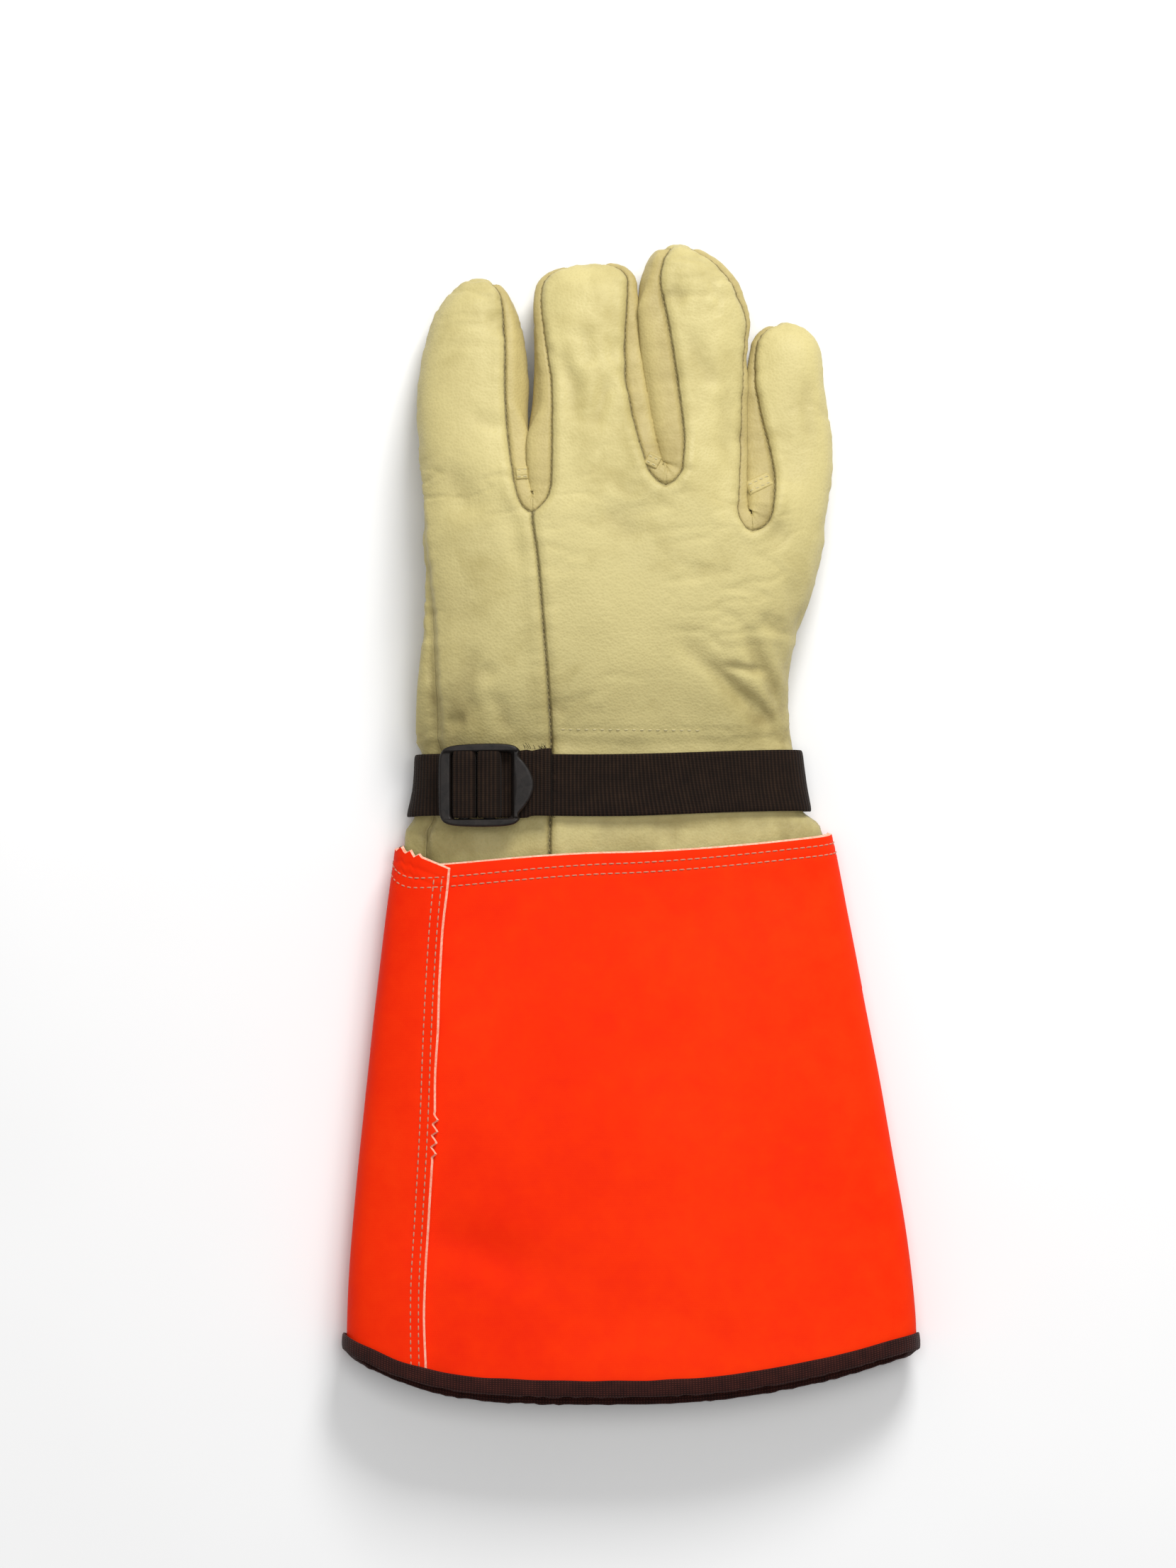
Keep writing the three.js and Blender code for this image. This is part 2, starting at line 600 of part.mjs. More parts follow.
// Angles of a finger's ring: back, right side, underneath and left side, clockwise from the front
function fingerAngles(number, section) {
  const backFrom = number === 0 ? Math.PI - OUTER_SEAM : angleAt(section.left, FINGER_ROUND);
  const backTo = number === 3 ? OUTER_SEAM : angleAt(section.right, FINGER_ROUND);
  const underFrom = number === 3 ? OUTER_SEAM : FIRST_UNDER_SEAM;
  const underTo = number === 0 ? -Math.PI - OUTER_SEAM : LAST_UNDER_SEAM;
  const spread = (from, to, count) => Array.from({ length: count + 1 }, (_, i) => mix(from, to, i / count));
  return {
    back: spread(backFrom, backTo, TOP_COLUMNS[number]),
    right: number === 3 ? [] : spread(backTo, underFrom, SIDE_COLUMNS),
    under: spread(underFrom, underTo, UNDER_COLUMNS[number] + (number === 0 ? SHELF_COLUMNS : 0)),
    left: number === 0 ? [] : spread(underTo, backFrom - TURN, SIDE_COLUMNS),
  };
}

function fingerPoint(section, angle) {
  const x = section.half * squareCos(angle, FINGER_ROUND);
  const z = section.rise * squareSin(angle, FINGER_ROUND);
  return new THREE.Vector3(section.x + x, section.y + section.slant * x, section.z + z);
}

// Shares of a finger's length at which it has rings: close near the crotch and round the tip
function fingerStations(finger) {
  const straight = 1 - finger.tip / finger.length;
  const stations = [0.06, 0.13, 0.21, 0.31];
  const count = Math.max(2, Math.round((straight - 0.31) / 0.13));
  for (let i = 1; i <= count; i += 1) stations.push(mix(0.31, straight, i / count));
  for (const turn of [66, 46, 29, 15]) {
    stations.push(1 - (finger.tip / finger.length) * (1 - Math.cos(turn * DEGREE) ** (2 / finger.power)));
  }
  return stations;
}

// Shares of a finger's length over which it leaves the hand's outline and the hand's heights
const OPENING = 0.07;
const LEVELLING = 0.4;

FINGERS.forEach((finger, number) => {
  const root = fingerSection(finger, 0);
  const rootAngles = fingerAngles(number, root);
  const first = {
    back: lastRing.back[number],
    right: number === 3 ? [] : crotchLines[number],
    under: lastRing.under[number],
    left: number === 0 ? [] : [...crotchLines[number - 1]].reverse(),
  };
  const shiftOf = (part, i) => skin.points[first[part][i]].clone().sub(fingerPoint(root, rootAngles[part][i]));
  let before = first;
  for (const at of fingerStations(finger)) {
    const section = fingerSection(finger, at);
    const angles = fingerAngles(number, section);
    const pull = 1 - ease(at / OPENING);
    const lift = 1 - ease(at / LEVELLING);
    const make = (part, i) => {
      const shift = shiftOf(part, i);
      const point = fingerPoint(section, angles[part][i]).addScaledVector(shift, pull);
      point.y += shift.y * (lift - pull);
      point.z += shift.z * (lift - pull);
      return skin.add(point.x, point.y, Math.max(point.z, 0));
    };
    const ring = {};
    ring.back = angles.back.map((_, i) => make('back', i));
    ring.under = angles.under.map((_, i) => make('under', i));
    if (number === 3) ring.under[0] = ring.back.at(-1);
    if (number === 0) ring.under[ring.under.length - 1] = ring.back[0];
    ring.right = angles.right.map((_, i) => {
      if (i === 0) return ring.back.at(-1);
      return i === SIDE_COLUMNS ? ring.under[0] : make('right', i);
    });
    ring.left = angles.left.map((_, i) => {
      if (i === 0) return ring.under.at(-1);
      return i === SIDE_COLUMNS ? ring.back[0] : make('left', i);
    });
    const panels = {
      back: BACK_OF[number],
      right: GAP_SIDES[number]?.left,
      under: 'palm_panel',
      left: GAP_SIDES[number - 1]?.right,
    };
    for (const part of Object.keys(panels)) {
      for (let i = 0; i < ring[part].length - 1; i += 1) {
        skin.face(panels[part], before[part][i], before[part][i + 1], ring[part][i + 1], ring[part][i]);
      }
    }
    before = ring;
  }
  const tip = fingerSection(finger, 1);
  const pole = skin.add(tip.x, tip.y, tip.z);
  for (const part of ['back', 'right', 'under', 'left']) {
    for (let i = 0; i < before[part].length - 1; i += 1) {
      skin.face(BACK_OF[number], before[part][i], before[part][i + 1], pole);
    }
  }
});

// The thumb starts at the rim of its hole, turns forward in a fan under the rim's far side,
// and lies along the floor below the palm
const rimZ = holeMiddle.z;
const foldRadius = (rimZ - THUMB_THICKNESS) / 2;
const farRim = holeMiddle.clone().addScaledVector(holeTurn, THUMB_HOLE_LENGTH / 2);

function thumbSection(turn, ahead) {
  const fold = turn * Math.PI;
  const reach = THUMB_LENGTH - ahead;
  const tipLength = THUMB_WIDTH * 0.55;
  const round = reach >= tipLength ? 1 : Math.sqrt(Math.max(0, 1 - (1 - reach / tipLength) ** 2));
  const rim = farRim.clone()
    .addScaledVector(holeTurn, ahead - foldRadius * Math.sin(fold))
    .add(new THREE.Vector3(0, 0, -foldRadius * (1 - Math.cos(fold))));
  const angle = turn * (Math.PI / 2);
  const thickness = mix(THUMB_HOLE_LENGTH, THUMB_THICKNESS, Math.sin(angle));
  const up = holeTurn.clone().multiplyScalar(Math.cos(angle)).add(new THREE.Vector3(0, 0, Math.sin(angle)));
  const middle = rim.clone().addScaledVector(up, -thickness / 2);
  const width = mix(THUMB_WIDTH, THUMB_WIDTH * 0.86, ease(ahead / THUMB_LENGTH));
  return { middle, up, half: (width / 2) * round, rise: (thickness / 2) * round };
}

function thumbPoint(section, angle) {
  return section.middle.clone()
    .addScaledVector(holeSide, section.half * squareCos(angle, THUMB_ROUND))
    .addScaledVector(section.up, section.rise * squareSin(angle, THUMB_ROUND));
}

const thumbStart = thumbSection(0, 0);
const thumbShifts = holeRing.map((index, i) => skin.points[index].clone().sub(thumbPoint(thumbStart, holeAngles[i])));
const thumbSteps = [];
for (const turn of [0.12, 0.27, 0.44, 0.62, 0.8, 1]) thumbSteps.push([turn, 0]);
const thumbStraight = THUMB_LENGTH - THUMB_WIDTH * 0.55;
for (const share of [0.33, 0.66, 1]) thumbSteps.push([1, thumbStraight * share]);
for (const turn of [64, 42, 24, 10]) {
  thumbSteps.push([1, thumbStraight + THUMB_WIDTH * 0.55 * Math.cos(turn * DEGREE)]);
}
let thumbBefore = holeRing;
thumbSteps.forEach(([turn, ahead], step) => {
  const section = thumbSection(turn, ahead);
  const pull = 1 - ease((step + 1) / 3);
  const ring = holeAngles.map((angle, i) => {
    const point = thumbPoint(section, angle).addScaledVector(thumbShifts[i], pull);
    return skin.add(point.x, point.y, Math.max(point.z, 0));
  });
  ring.forEach((_, i) => {
    const next = (i + 1) % ring.length;
    skin.face('thumb', thumbBefore[next], thumbBefore[i], ring[i], ring[next]);
  });
  thumbBefore = ring;
});
const thumbTip = thumbSection(1, THUMB_LENGTH);
const thumbPole = skin.add(...thumbTip.middle.toArray());
thumbBefore.forEach((_, i) => {
  skin.face('thumb', thumbBefore[(i + 1) % thumbBefore.length], thumbBefore[i], thumbPole);
});

skin.measure();

// Cuff section: a super-ellipse with a flat underside, by angle and by place along the cuff
function cuffPoint(angle, y) {
  const at = (cuffTopY - y) / CUFF_LENGTH;
  const left = read(CUFF_OUTLINE, at, 'left') * HEM_WIDTH;
  const right = read(CUFF_OUTLINE, at, 'right') * HEM_WIDTH;
  const crown = mix(CUFF_TOP_HEIGHT, HEM_HEIGHT, at);
  const low = (BINDING_WALL + BINDING_CLEARANCE + 0.1) * ease((at - 0.8) / 0.15);
  const edge = CUFF_EDGE_HEIGHT;
  const x = (left + right) / 2 + ((right - left) / 2) * squareCos(angle, BACK_ROUND);
  const sine = squareSin(angle, Math.sin(angle) > 0 ? BACK_ROUND : UNDER_ROUND);
  const z = sine > 0 ? edge + (crown - edge) * sine : edge + (edge + 1 - low) * sine;
  return new THREE.Vector3(x, y, Math.max(z, low));
}

function cuffNormal(angle, y) {
  const step = 2 * DEGREE;
  const round = cuffPoint(angle + step, y).sub(cuffPoint(angle - step, y));
  return new THREE.Vector3(round.z, 0, -round.x).normalize();
}

function hemEnd(angle) {
  const share = squareCos(angle, BACK_ROUND);
  const bend = share < 0 ? Math.abs(share) ** 4 : share ** 2;
  return hemY + HEM_SAG * bend + (Math.sin(angle) > 0 ? 2 * Math.sin(angle) : 0);
}

const lapLayer = CUFF_WALL + SEAM_GAP;

// How far the top layer of the lap stands off, from the lap's edge round the left side
function lapRise(angle, edge) {
  const turned = (angle - edge) / DEGREE;
  return lapLayer * (1 - ease((turned - 26) / 26));
}

function lapEdgeAngle(y) {
  const at = clamp((cuffTopY - y) / CUFF_LENGTH, 0, 1);
  const left = read(CUFF_OUTLINE, at, 'left') * HEM_WIDTH;
  const right = read(CUFF_OUTLINE, at, 'right') * HEM_WIDTH;
  const share = -1 + (LAP_WIDTH + LAP_FLARE * at) / ((right - left) / 2);
  return angleAt(share, BACK_ROUND);
}

function tuckAngle(y) {
  const at = clamp((cuffTopY - y) / CUFF_LENGTH, 0, 1);
  const left = read(CUFF_OUTLINE, at, 'left') * HEM_WIDTH;
  const right = read(CUFF_OUTLINE, at, 'right') * HEM_WIDTH;
  return angleAt(-1 + (LAP_WIDTH + LAP_FLARE * at - LAP_TUCK) / ((right - left) / 2), BACK_ROUND);
}

function buildCuff() {
  const outer = [];
  const inner = [];
  for (let i = 0; i <= CUFF_COLUMNS; i += 1) {
    const outerColumn = [];
    const innerColumn = [];
    for (let j = 0; j <= CUFF_ROWS; j += 1) {
      const guess = mix(cuffTopY, hemY, j / CUFF_ROWS);
      const start = lapEdgeAngle(guess);
      const angle = mix(start, TURN + tuckAngle(guess), i / CUFF_COLUMNS);
      const top = cuffTopY + read(CUFF_TOP_EDGE, (angle / TURN) % 1, 'ahead') * HEM_WIDTH;
      const end = hemEnd(angle) + BINDING_WALL + SEAM_GAP;
      const y = mix(top, end, j / CUFF_ROWS);
      const point = cuffPoint(angle, y);
      const normal = cuffNormal(angle, y);
      const rise = lapRise(angle, start);
      outerColumn.push(point.clone().addScaledVector(normal, rise).toArray());
      innerColumn.push(point.clone().addScaledVector(normal, rise - CUFF_WALL).toArray());
    }
    outer.push(outerColumn);
    inner.push(innerColumn);
  }
  return sheet(outer, inner);
}

// Tape folded over the hem: a U-shaped section carried round the cuff
function buildBinding() {
  const profiles = [];
  for (let i = 0; i < BINDING_COLUMNS; i += 1) {
    const angle = TURN * (i / BINDING_COLUMNS);
    const end = hemEnd(angle);
    const start = lapEdgeAngle(end);
    const turned = (angle - start) / DEGREE;
    const rise = lapLayer * ease((turned + 9) / 6) * (1 - ease((turned - 26) / 26));
    const outside = rise + BINDING_CLEARANCE;
    const inside = -CUFF_WALL - BINDING_CLEARANCE;
    const place = (away, ahead) => {
      const y = end + ahead;
      return cuffPoint(angle, y).addScaledVector(cuffNormal(angle, y), away).toArray();
    };
    profiles.push([
      place(outside, BINDING_WIDTH), place(outside + BINDING_WALL, BINDING_WIDTH),
      place(outside + BINDING_WALL, 0), place(inside - BINDING_WALL, 0),
      place(inside - BINDING_WALL, BINDING_WIDTH), place(inside, BINDING_WIDTH),
      place(inside, BINDING_WALL), place(outside, BINDING_WALL),
    ]);
  }
  const positions = profiles.flat(2);
  const triangles = [];
  for (let i = 0; i < BINDING_COLUMNS; i += 1) {
    const next = (i + 1) % BINDING_COLUMNS;
    for (let k = 0; k < 8; k += 1) {
      const a = i * 8 + k;
      const b = i * 8 + ((k + 1) % 8);
      const c = next * 8 + ((k + 1) % 8);
      const d = next * 8 + k;
      triangles.push(a, d, c, a, c, b);
    }
  }
  return solid(positions, triangles);
}

// Loop round the wrist that the strap lies on
function wristPoint(angle, y) {
  const section = handSection((y - handY) / HAND_LENGTH);
  if (Math.sin(angle) >= 0) return backPoint(section, angle, section.bulge, section.bulgeZ);
  return underPoint(section, -angle);
}

const levelOne = STRAP_WALL + SEAM_GAP;
const plateLow = 2 * levelOne;
const overBar = plateLow + BUCKLE_PLATE + SEAM_GAP;

// Places along the buckle from its middle: the edges of its bars and slots
const END_BAR = -0.375 * BUCKLE_LENGTH;
const BAR_A = { from: -0.295 * BUCKLE_LENGTH, to: -0.18 * BUCKLE_LENGTH };
const BAR_B = { from: -0.032 * BUCKLE_LENGTH, to: 0.092 * BUCKLE_LENGTH };
const TAB_BAR = 0.263 * BUCKLE_LENGTH;

// The buckle lies on the wrist's back, tilted as the wrist is there
const strapSection = handSection((strapY - handY) / HAND_LENGTH);
const strapMiddle = { x: strapSection.bulge + BUCKLE_INSET, reach: BUCKLE_LENGTH / 2 };
const wristTop = (x, y) => {
  const section = handSection((y - handY) / HAND_LENGTH);
  const middle = (section.bulge + section.right) / 2;
  const half = (section.right - section.bulge) / 2;
  return backPoint(section, angleAt((x - middle) / half, BACK_ROUND), section.bulge, section.bulgeZ)[1];
};
const buckleTilt = Math.atan2(
  wristTop(strapMiddle.x + strapMiddle.reach, strapY) - wristTop(strapMiddle.x - strapMiddle.reach, strapY),
  2 * strapMiddle.reach,
);
let buckleBase = -Infinity;
for (let i = 0; i <= 20; i += 1) {
  for (const side of [-0.5, 0, 0.5]) {
    const along = mix(-strapMiddle.reach, strapMiddle.reach, i / 20);
    const level = wristTop(strapMiddle.x + along * Math.cos(buckleTilt), strapY + side * BUCKLE_WIDTH);
    buckleBase = Math.max(buckleBase, level - along * Math.sin(buckleTilt));
  }
}
buckleBase += SEAM_GAP;

// From the buckle's own plane to the glove's
function onBuckle(along, up) {
  const cosine = Math.cos(buckleTilt);
  const sine = Math.sin(buckleTilt);
  return [strapMiddle.x + along * cosine - up * sine, buckleBase + along * sine + up * cosine];
}

// Half turn of the strap round the edge of a bar
function aroundBar(edge, side, from, to, steps) {
  const middle = (from + to) / 2;
  const radius = Math.abs(to - from) / 2;
  const points = [];
  for (let i = 0; i <= steps; i += 1) {
    const angle = Math.PI * (i / steps);
    const up = middle - Math.sign(to - from) * radius * Math.cos(angle);
    points.push([edge + side * radius * 0.55 * Math.sin(angle), up]);
  }
  return points;
}

function strapRoute(y) {
  const half = STRAP_WALL / 2;
  const route = [];
  const top = overBar + half;
  const tuckedEnd = [[END_BAR - 2.4, levelOne + half], [END_BAR, levelOne + half]];
  const loopA = [
    ...aroundBar(BAR_A.from - SEAM_GAP - half * 0.4, -1, levelOne + half, top, 4),
    [mix(BAR_A.from, BAR_A.to, 0.5), top + 0.2],
    ...aroundBar(BAR_A.to + SEAM_GAP + half * 0.4, 1, top, half, 4),
  ];
  for (const [along, up] of [...tuckedEnd, ...loopA, [END_BAR - 4, half]]) route.push(onBuckle(along, up));
  const section = handSection((y - handY) / HAND_LENGTH);
  const middle = (section.bulge + section.right) / 2;
  const wide = (section.right - section.bulge) / 2;
  const lift = STRAP_CLEARANCE + half;
  const from = angleAt((strapMiddle.x - strapMiddle.reach * 1.12 - middle) / wide, BACK_ROUND);
  const to = TURN + angleAt((strapMiddle.x + strapMiddle.reach * 1.45 - middle) / wide, BACK_ROUND);
  for (let i = 0; i <= STRAP_STEPS; i += 1) {
    const angle = mix(from, to, i / STRAP_STEPS);
    const [x, z] = wristPoint(wrap(angle), y);
    const [xa, za] = wristPoint(wrap(angle - DEGREE), y);
    const [xb, zb] = wristPoint(wrap(angle + DEGREE), y);
    const length = Math.hypot(xb - xa, zb - za);
    route.push([x + ((zb - za) / length) * lift, z - ((xb - xa) / length) * lift]);
  }
  const tailEnd = strapMiddle.reach + 5.4;
  const loopB = [
    [TAB_BAR + 5, half], [TAB_BAR - 1, half],
    ...aroundBar(BAR_B.from - SEAM_GAP - half * 0.4, -1, half, top, 4),
    [mix(BAR_B.from, BAR_B.to, 0.5), top + 0.2],
    ...aroundBar(BAR_B.to + SEAM_GAP + half * 0.4, 1, top, levelOne + half, 4),
    [TAB_BAR, levelOne + half], [mix(TAB_BAR, tailEnd, 0.5), levelOne + half], [tailEnd, levelOne + half],
  ];
  for (const [along, up] of loopB) route.push(onBuckle(along, up));
  return route;
}

function wrap(angle) {
  const turned = ((angle % TURN) + TURN) % TURN;
  return turned > Math.PI ? turned - TURN : turned;
}

function buildStrap() {
  const shares = [-0.5, 0, 0.5];
  const routes = shares.map((share) => strapRoute(strapY + share * STRAP_WIDTH));
  const outer = [];
  const inner = [];
  for (let i = 0; i < routes[0].length; i += 1) {
    const outerRow = [];
    const innerRow = [];
    shares.forEach((share, k) => {
      const route = routes[k];
      const before = route[Math.max(i - 1, 0)];
      const after = route[Math.min(i + 1, route.length - 1)];
      const here = route[i];
      const toHere = new THREE.Vector2(here[0] - before[0], here[1] - before[1]).normalize();
      const fromHere = new THREE.Vector2(after[0] - here[0], after[1] - here[1]).normalize();
      const run = toHere.clone().add(fromHere).normalize();
      const mitre = (STRAP_WALL / 2) / Math.max(0.75, i > 0 && i < route.length - 1 ? run.dot(fromHere) : 1);
      const y = strapY + share * STRAP_WIDTH;
      outerRow.push([here[0] + run.y * mitre, y, here[1] - run.x * mitre]);
      innerRow.push([here[0] - run.y * mitre, y, here[1] + run.x * mitre]);
    });
    outer.push(outerRow);
    inner.push(innerRow);
  }
  return sheet(inner, outer);
}

function toManifold(geometry) {
  const bare = geometry.clone();
  bare.deleteAttribute('normal');
  bare.deleteAttribute('uv');
  const merged = mergeVertices(bare, 1e-4);
  return new wasm.Manifold(new wasm.Mesh({
    numProp: 3,
    vertProperties: new Float32Array(merged.attributes.position.array),
    triVerts: new Uint32Array(merged.index.array),
  }));
}

function fromManifold(body) {
  const mesh = body.getMesh();
  return solid([...mesh.vertProperties], [...mesh.triVerts]);
}

function block(fromX, toX, fromY, toY, fromZ, toZ) {
  const geometry = new THREE.BoxGeometry(toX - fromX, toY - fromY, toZ - fromZ);
  return geometry.translate((fromX + toX) / 2, (fromY + toY) / 2, (fromZ + toZ) / 2);
}

// Points of an elliptic arc, by its middle, its two radii and its angles in degrees
function arcPoints(x, y, radiusX, radiusY, from, to, steps) {
  const points = [];
  for (let i = 0; i <= steps; i += 1) {
    const angle = mix(from, to, i / steps) * DEGREE;
    points.push(new THREE.Vector2(x + radiusX * Math.cos(angle), y + radiusY * Math.sin(angle)));
  }
  return points;
}

// Ladder lock buckle: a plate with three slots, two side rails and a rounded lifting tab
function buildBuckle() {
  const halfWidth = BUCKLE_WIDTH / 2;
  const slotHalf = halfWidth - RAIL_WIDTH;
  const from = -strapMiddle.reach;
  const to = strapMiddle.reach;
  const outline = new THREE.Shape([
    ...arcPoints(to - TAB_ROUND, 0, TAB_ROUND, halfWidth, -90, 90, 8),
    ...arcPoints(from + BUCKLE_CORNER, halfWidth - BUCKLE_CORNER, BUCKLE_CORNER, BUCKLE_CORNER, 90, 180, 4),
    ...arcPoints(from + BUCKLE_CORNER, BUCKLE_CORNER - halfWidth, BUCKLE_CORNER, BUCKLE_CORNER, 180, 270, 4),
  ]);
  const plate = new THREE.ExtrudeGeometry(outline, { depth: BUCKLE_PLATE, bevelEnabled: false });
  plate.translate(0, 0, plateLow);
  let body = toManifold(plate);
  for (const [left, right] of [[END_BAR, BAR_A.from], [BAR_A.to, BAR_B.from], [BAR_B.to, TAB_BAR]]) {
    body = body.subtract(toManifold(block(left, right, -slotHalf, slotHalf, 0, 2 * plateLow)));
  }
  for (const side of [-1, 1]) {
    const inside = side * (slotHalf + SEAM_GAP);
    const outside = side * (halfWidth - RAIL_EDGE);
    const rail = block(from + BUCKLE_CORNER / 2, TAB_BAR, Math.min(inside, outside), Math.max(inside, outside),
      SEAM_GAP, plateLow + BUCKLE_PLATE + RAIL_HEIGHT);
    body = body.add(toManifold(rail));
  }
  const tabWidth = halfWidth - TAB_EDGE;
  const tab = new THREE.Shape([
    new THREE.Vector2(TAB_BAR + SEAM_GAP, -tabWidth),
    ...arcPoints(to - TAB_ROUND, 0, TAB_ROUND + SEAM_GAP, tabWidth, -90, 90, 8),
    new THREE.Vector2(TAB_BAR + SEAM_GAP, tabWidth),
  ]);
  const raised = new THREE.ExtrudeGeometry(tab, { depth: BUCKLE_PLATE, bevelEnabled: false });
  raised.translate(0, 0, plateLow + BUCKLE_PLATE * 0.6);
  body = body.add(toManifold(raised));
  const geometry = fromManifold(body);
  const place = new THREE.Matrix4().makeRotationY(-buckleTilt);
  place.setPosition(strapMiddle.x, strapY, buckleBase);
  return geometry.applyMatrix4(place);
}

const LEATHER = { color: 0xded496, roughness: 0.62, metalness: 0 };
const STRIP_LEATHER = { color: 0xcfc083, roughness: 0.66, metalness: 0 };
const ORANGE = { color: 0xfc3a14, roughness: 0.5, metalness: 0 };
const BROWN = { color: 0x3a1b16, roughness: 0.85, metalness: 0 };
const WEBBING = { color: 0x241a14, roughness: 0.8, metalness: 0 };
const PLASTIC = { color: 0x1f1814, roughness: 0.35, metalness: 0 };

const glove = new THREE.Group();

function addPiece(name, geometry, finish) {
  const piece = new THREE.Mesh(geometry, new THREE.MeshStandardMaterial(finish));
  piece.name = name;
  glove.add(piece);
}

for (const panel of ['palm_panel', 'index_back_panel', 'back_panel', 'thumb']) {
  addPiece(panel, skin.wall(panel, LEATHER_WALL, SEAM_GAP), LEATHER);
}
for (const sides of GAP_SIDES) {
  addPiece(sides.left, skin.wall(sides.left, LEATHER_WALL, SEAM_GAP), STRIP_LEATHER);
  addPiece(sides.right, skin.wall(sides.right, LEATHER_WALL, SEAM_GAP), STRIP_LEATHER);
}
addPiece('gauntlet_cuff', buildCuff(), ORANGE);
addPiece('hem_binding', buildBinding(), BROWN);
addPiece('wrist_strap', buildStrap(), WEBBING);
addPiece('strap_buckle', buildBuckle(), PLASTIC);

export default glove;
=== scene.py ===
# Looks of a right-hand leather protector glove that lies palm down.
# Lengths are in millimetres here and become metres when a mesh is made.
import json
import math

import bmesh
import bpy
import numpy as np
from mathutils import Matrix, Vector
from mathutils.bvhtree import BVHTree
from mathutils.kdtree import KDTree

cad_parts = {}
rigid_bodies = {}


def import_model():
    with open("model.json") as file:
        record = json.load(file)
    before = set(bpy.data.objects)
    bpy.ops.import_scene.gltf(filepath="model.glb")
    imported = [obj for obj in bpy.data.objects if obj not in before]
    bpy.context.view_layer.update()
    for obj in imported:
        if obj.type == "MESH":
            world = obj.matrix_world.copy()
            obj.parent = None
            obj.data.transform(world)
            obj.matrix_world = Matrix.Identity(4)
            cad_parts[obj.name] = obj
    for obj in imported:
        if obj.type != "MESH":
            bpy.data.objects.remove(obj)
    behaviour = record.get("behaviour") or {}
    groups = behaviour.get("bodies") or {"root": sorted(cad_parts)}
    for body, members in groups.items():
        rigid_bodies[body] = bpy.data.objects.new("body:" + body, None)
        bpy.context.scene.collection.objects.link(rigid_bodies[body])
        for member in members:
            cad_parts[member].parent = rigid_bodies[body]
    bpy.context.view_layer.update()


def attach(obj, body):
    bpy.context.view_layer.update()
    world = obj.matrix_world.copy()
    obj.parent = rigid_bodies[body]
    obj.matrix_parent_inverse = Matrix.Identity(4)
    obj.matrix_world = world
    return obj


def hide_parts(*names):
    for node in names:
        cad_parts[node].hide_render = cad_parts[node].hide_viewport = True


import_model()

DEGREE = math.pi / 180
TURN = 2 * math.pi

# Walls and clearances
LEATHER_WALL = 1.4
CUFF_WALL = 1.2
STRAP_WALL = 1.3
BINDING_WALL = 0.9
SEAM_GAP = 0.34
STRAP_CLEARANCE = 0.8
BINDING_CLEARANCE = 0.6
# How far the lowest cloth and thread stay off the floor
OFF_FLOOR = 0.02

# Cuff
HEM_WIDTH = 188.8
CUFF_LENGTH = 180
CUFF_TOP_HEIGHT = 29
HEM_HEIGHT = 31
CUFF_EDGE_HEIGHT = 11
LAP_WIDTH = 19
LAP_FLARE = 8
LAP_TUCK = 9
HEM_SAG = 17
BINDING_WIDTH = 4.4
# Stitch rows: down from the top edge at its left and right, between rows, and in from the lap's edge
TOP_ROW_LEFT, TOP_ROW_RIGHT = 4.6, 3.2
ROW_GAP = 3.2
LAP_ROWS = (2.1, 4.7)

# Hand
PALM_WIDTH = 131.3
HAND_LENGTH = 123.8
CUFF_OVERLAP = 11.7
KNUCKLE_HEIGHT = 38

# Thumb
THUMB_WIDTH = 33
THUMB_LENGTH = 48
THUMB_THICKNESS = 15
THUMB_TURN = 32 * DEGREE
THUMB_HOLE_LENGTH = 31

# Strap and buckle
STRAP_WIDTH = 20.3
STRAP_AHEAD = 21.5
BUCKLE_LENGTH = 31.6
BUCKLE_WIDTH = 27.4
BUCKLE_PLATE = 2
RAIL_WIDTH = 2.8
RAIL_HEIGHT = 1.4
BUCKLE_INSET = 25.6
TIP_DROP = 12

BACK_ROUND = 2.8
UNDER_ROUND = 3.2
FINGER_ROUND = 2.3
THUMB_ROUND = 2.6

WRIST_ROWS = 2
PALM_ROWS = 9
TOP_COLUMNS = [5, 4, 4, 5]
UNDER_COLUMNS = [6, 4, 4, 5]
SHELF_COLUMNS = 2
SIDE_COLUMNS = 3
THUMB_HOLE_ROWS = [5, 9]
THUMB_HOLE_COLUMNS = [0, 4]


class Table:
    """A few rows of named columns, read smoothly in between."""

    def __init__(self, names, *rows):
        values = np.array(rows, float)
        self.at = values[:, 0]
        self.columns = dict(zip(names.split(), values[:, 1:].T))

    def read(self, at, name):
        x, y = self.at, self.columns[name]
        place = np.clip(at, x[0], x[-1])
        i = np.clip(np.searchsorted(x, place, "left") - 1, 0, len(x) - 2)
        before = np.maximum(np.arange(len(x)) - 1, 0)
        after = np.minimum(np.arange(len(x)) + 1, len(x) - 1)
        slope = (y[after] - y[before]) / (x[after] - x[before])
        span = x[i + 1] - x[i]
        t = (place - x[i]) / span
        a, b = slope[i] * span, slope[i + 1] * span
        curve = 2 * (y[i] - y[i + 1]) + a + b
        bend = 3 * (y[i + 1] - y[i]) - 2 * a - b
        return y[i] + a * t + bend * t * t + curve * t * t * t


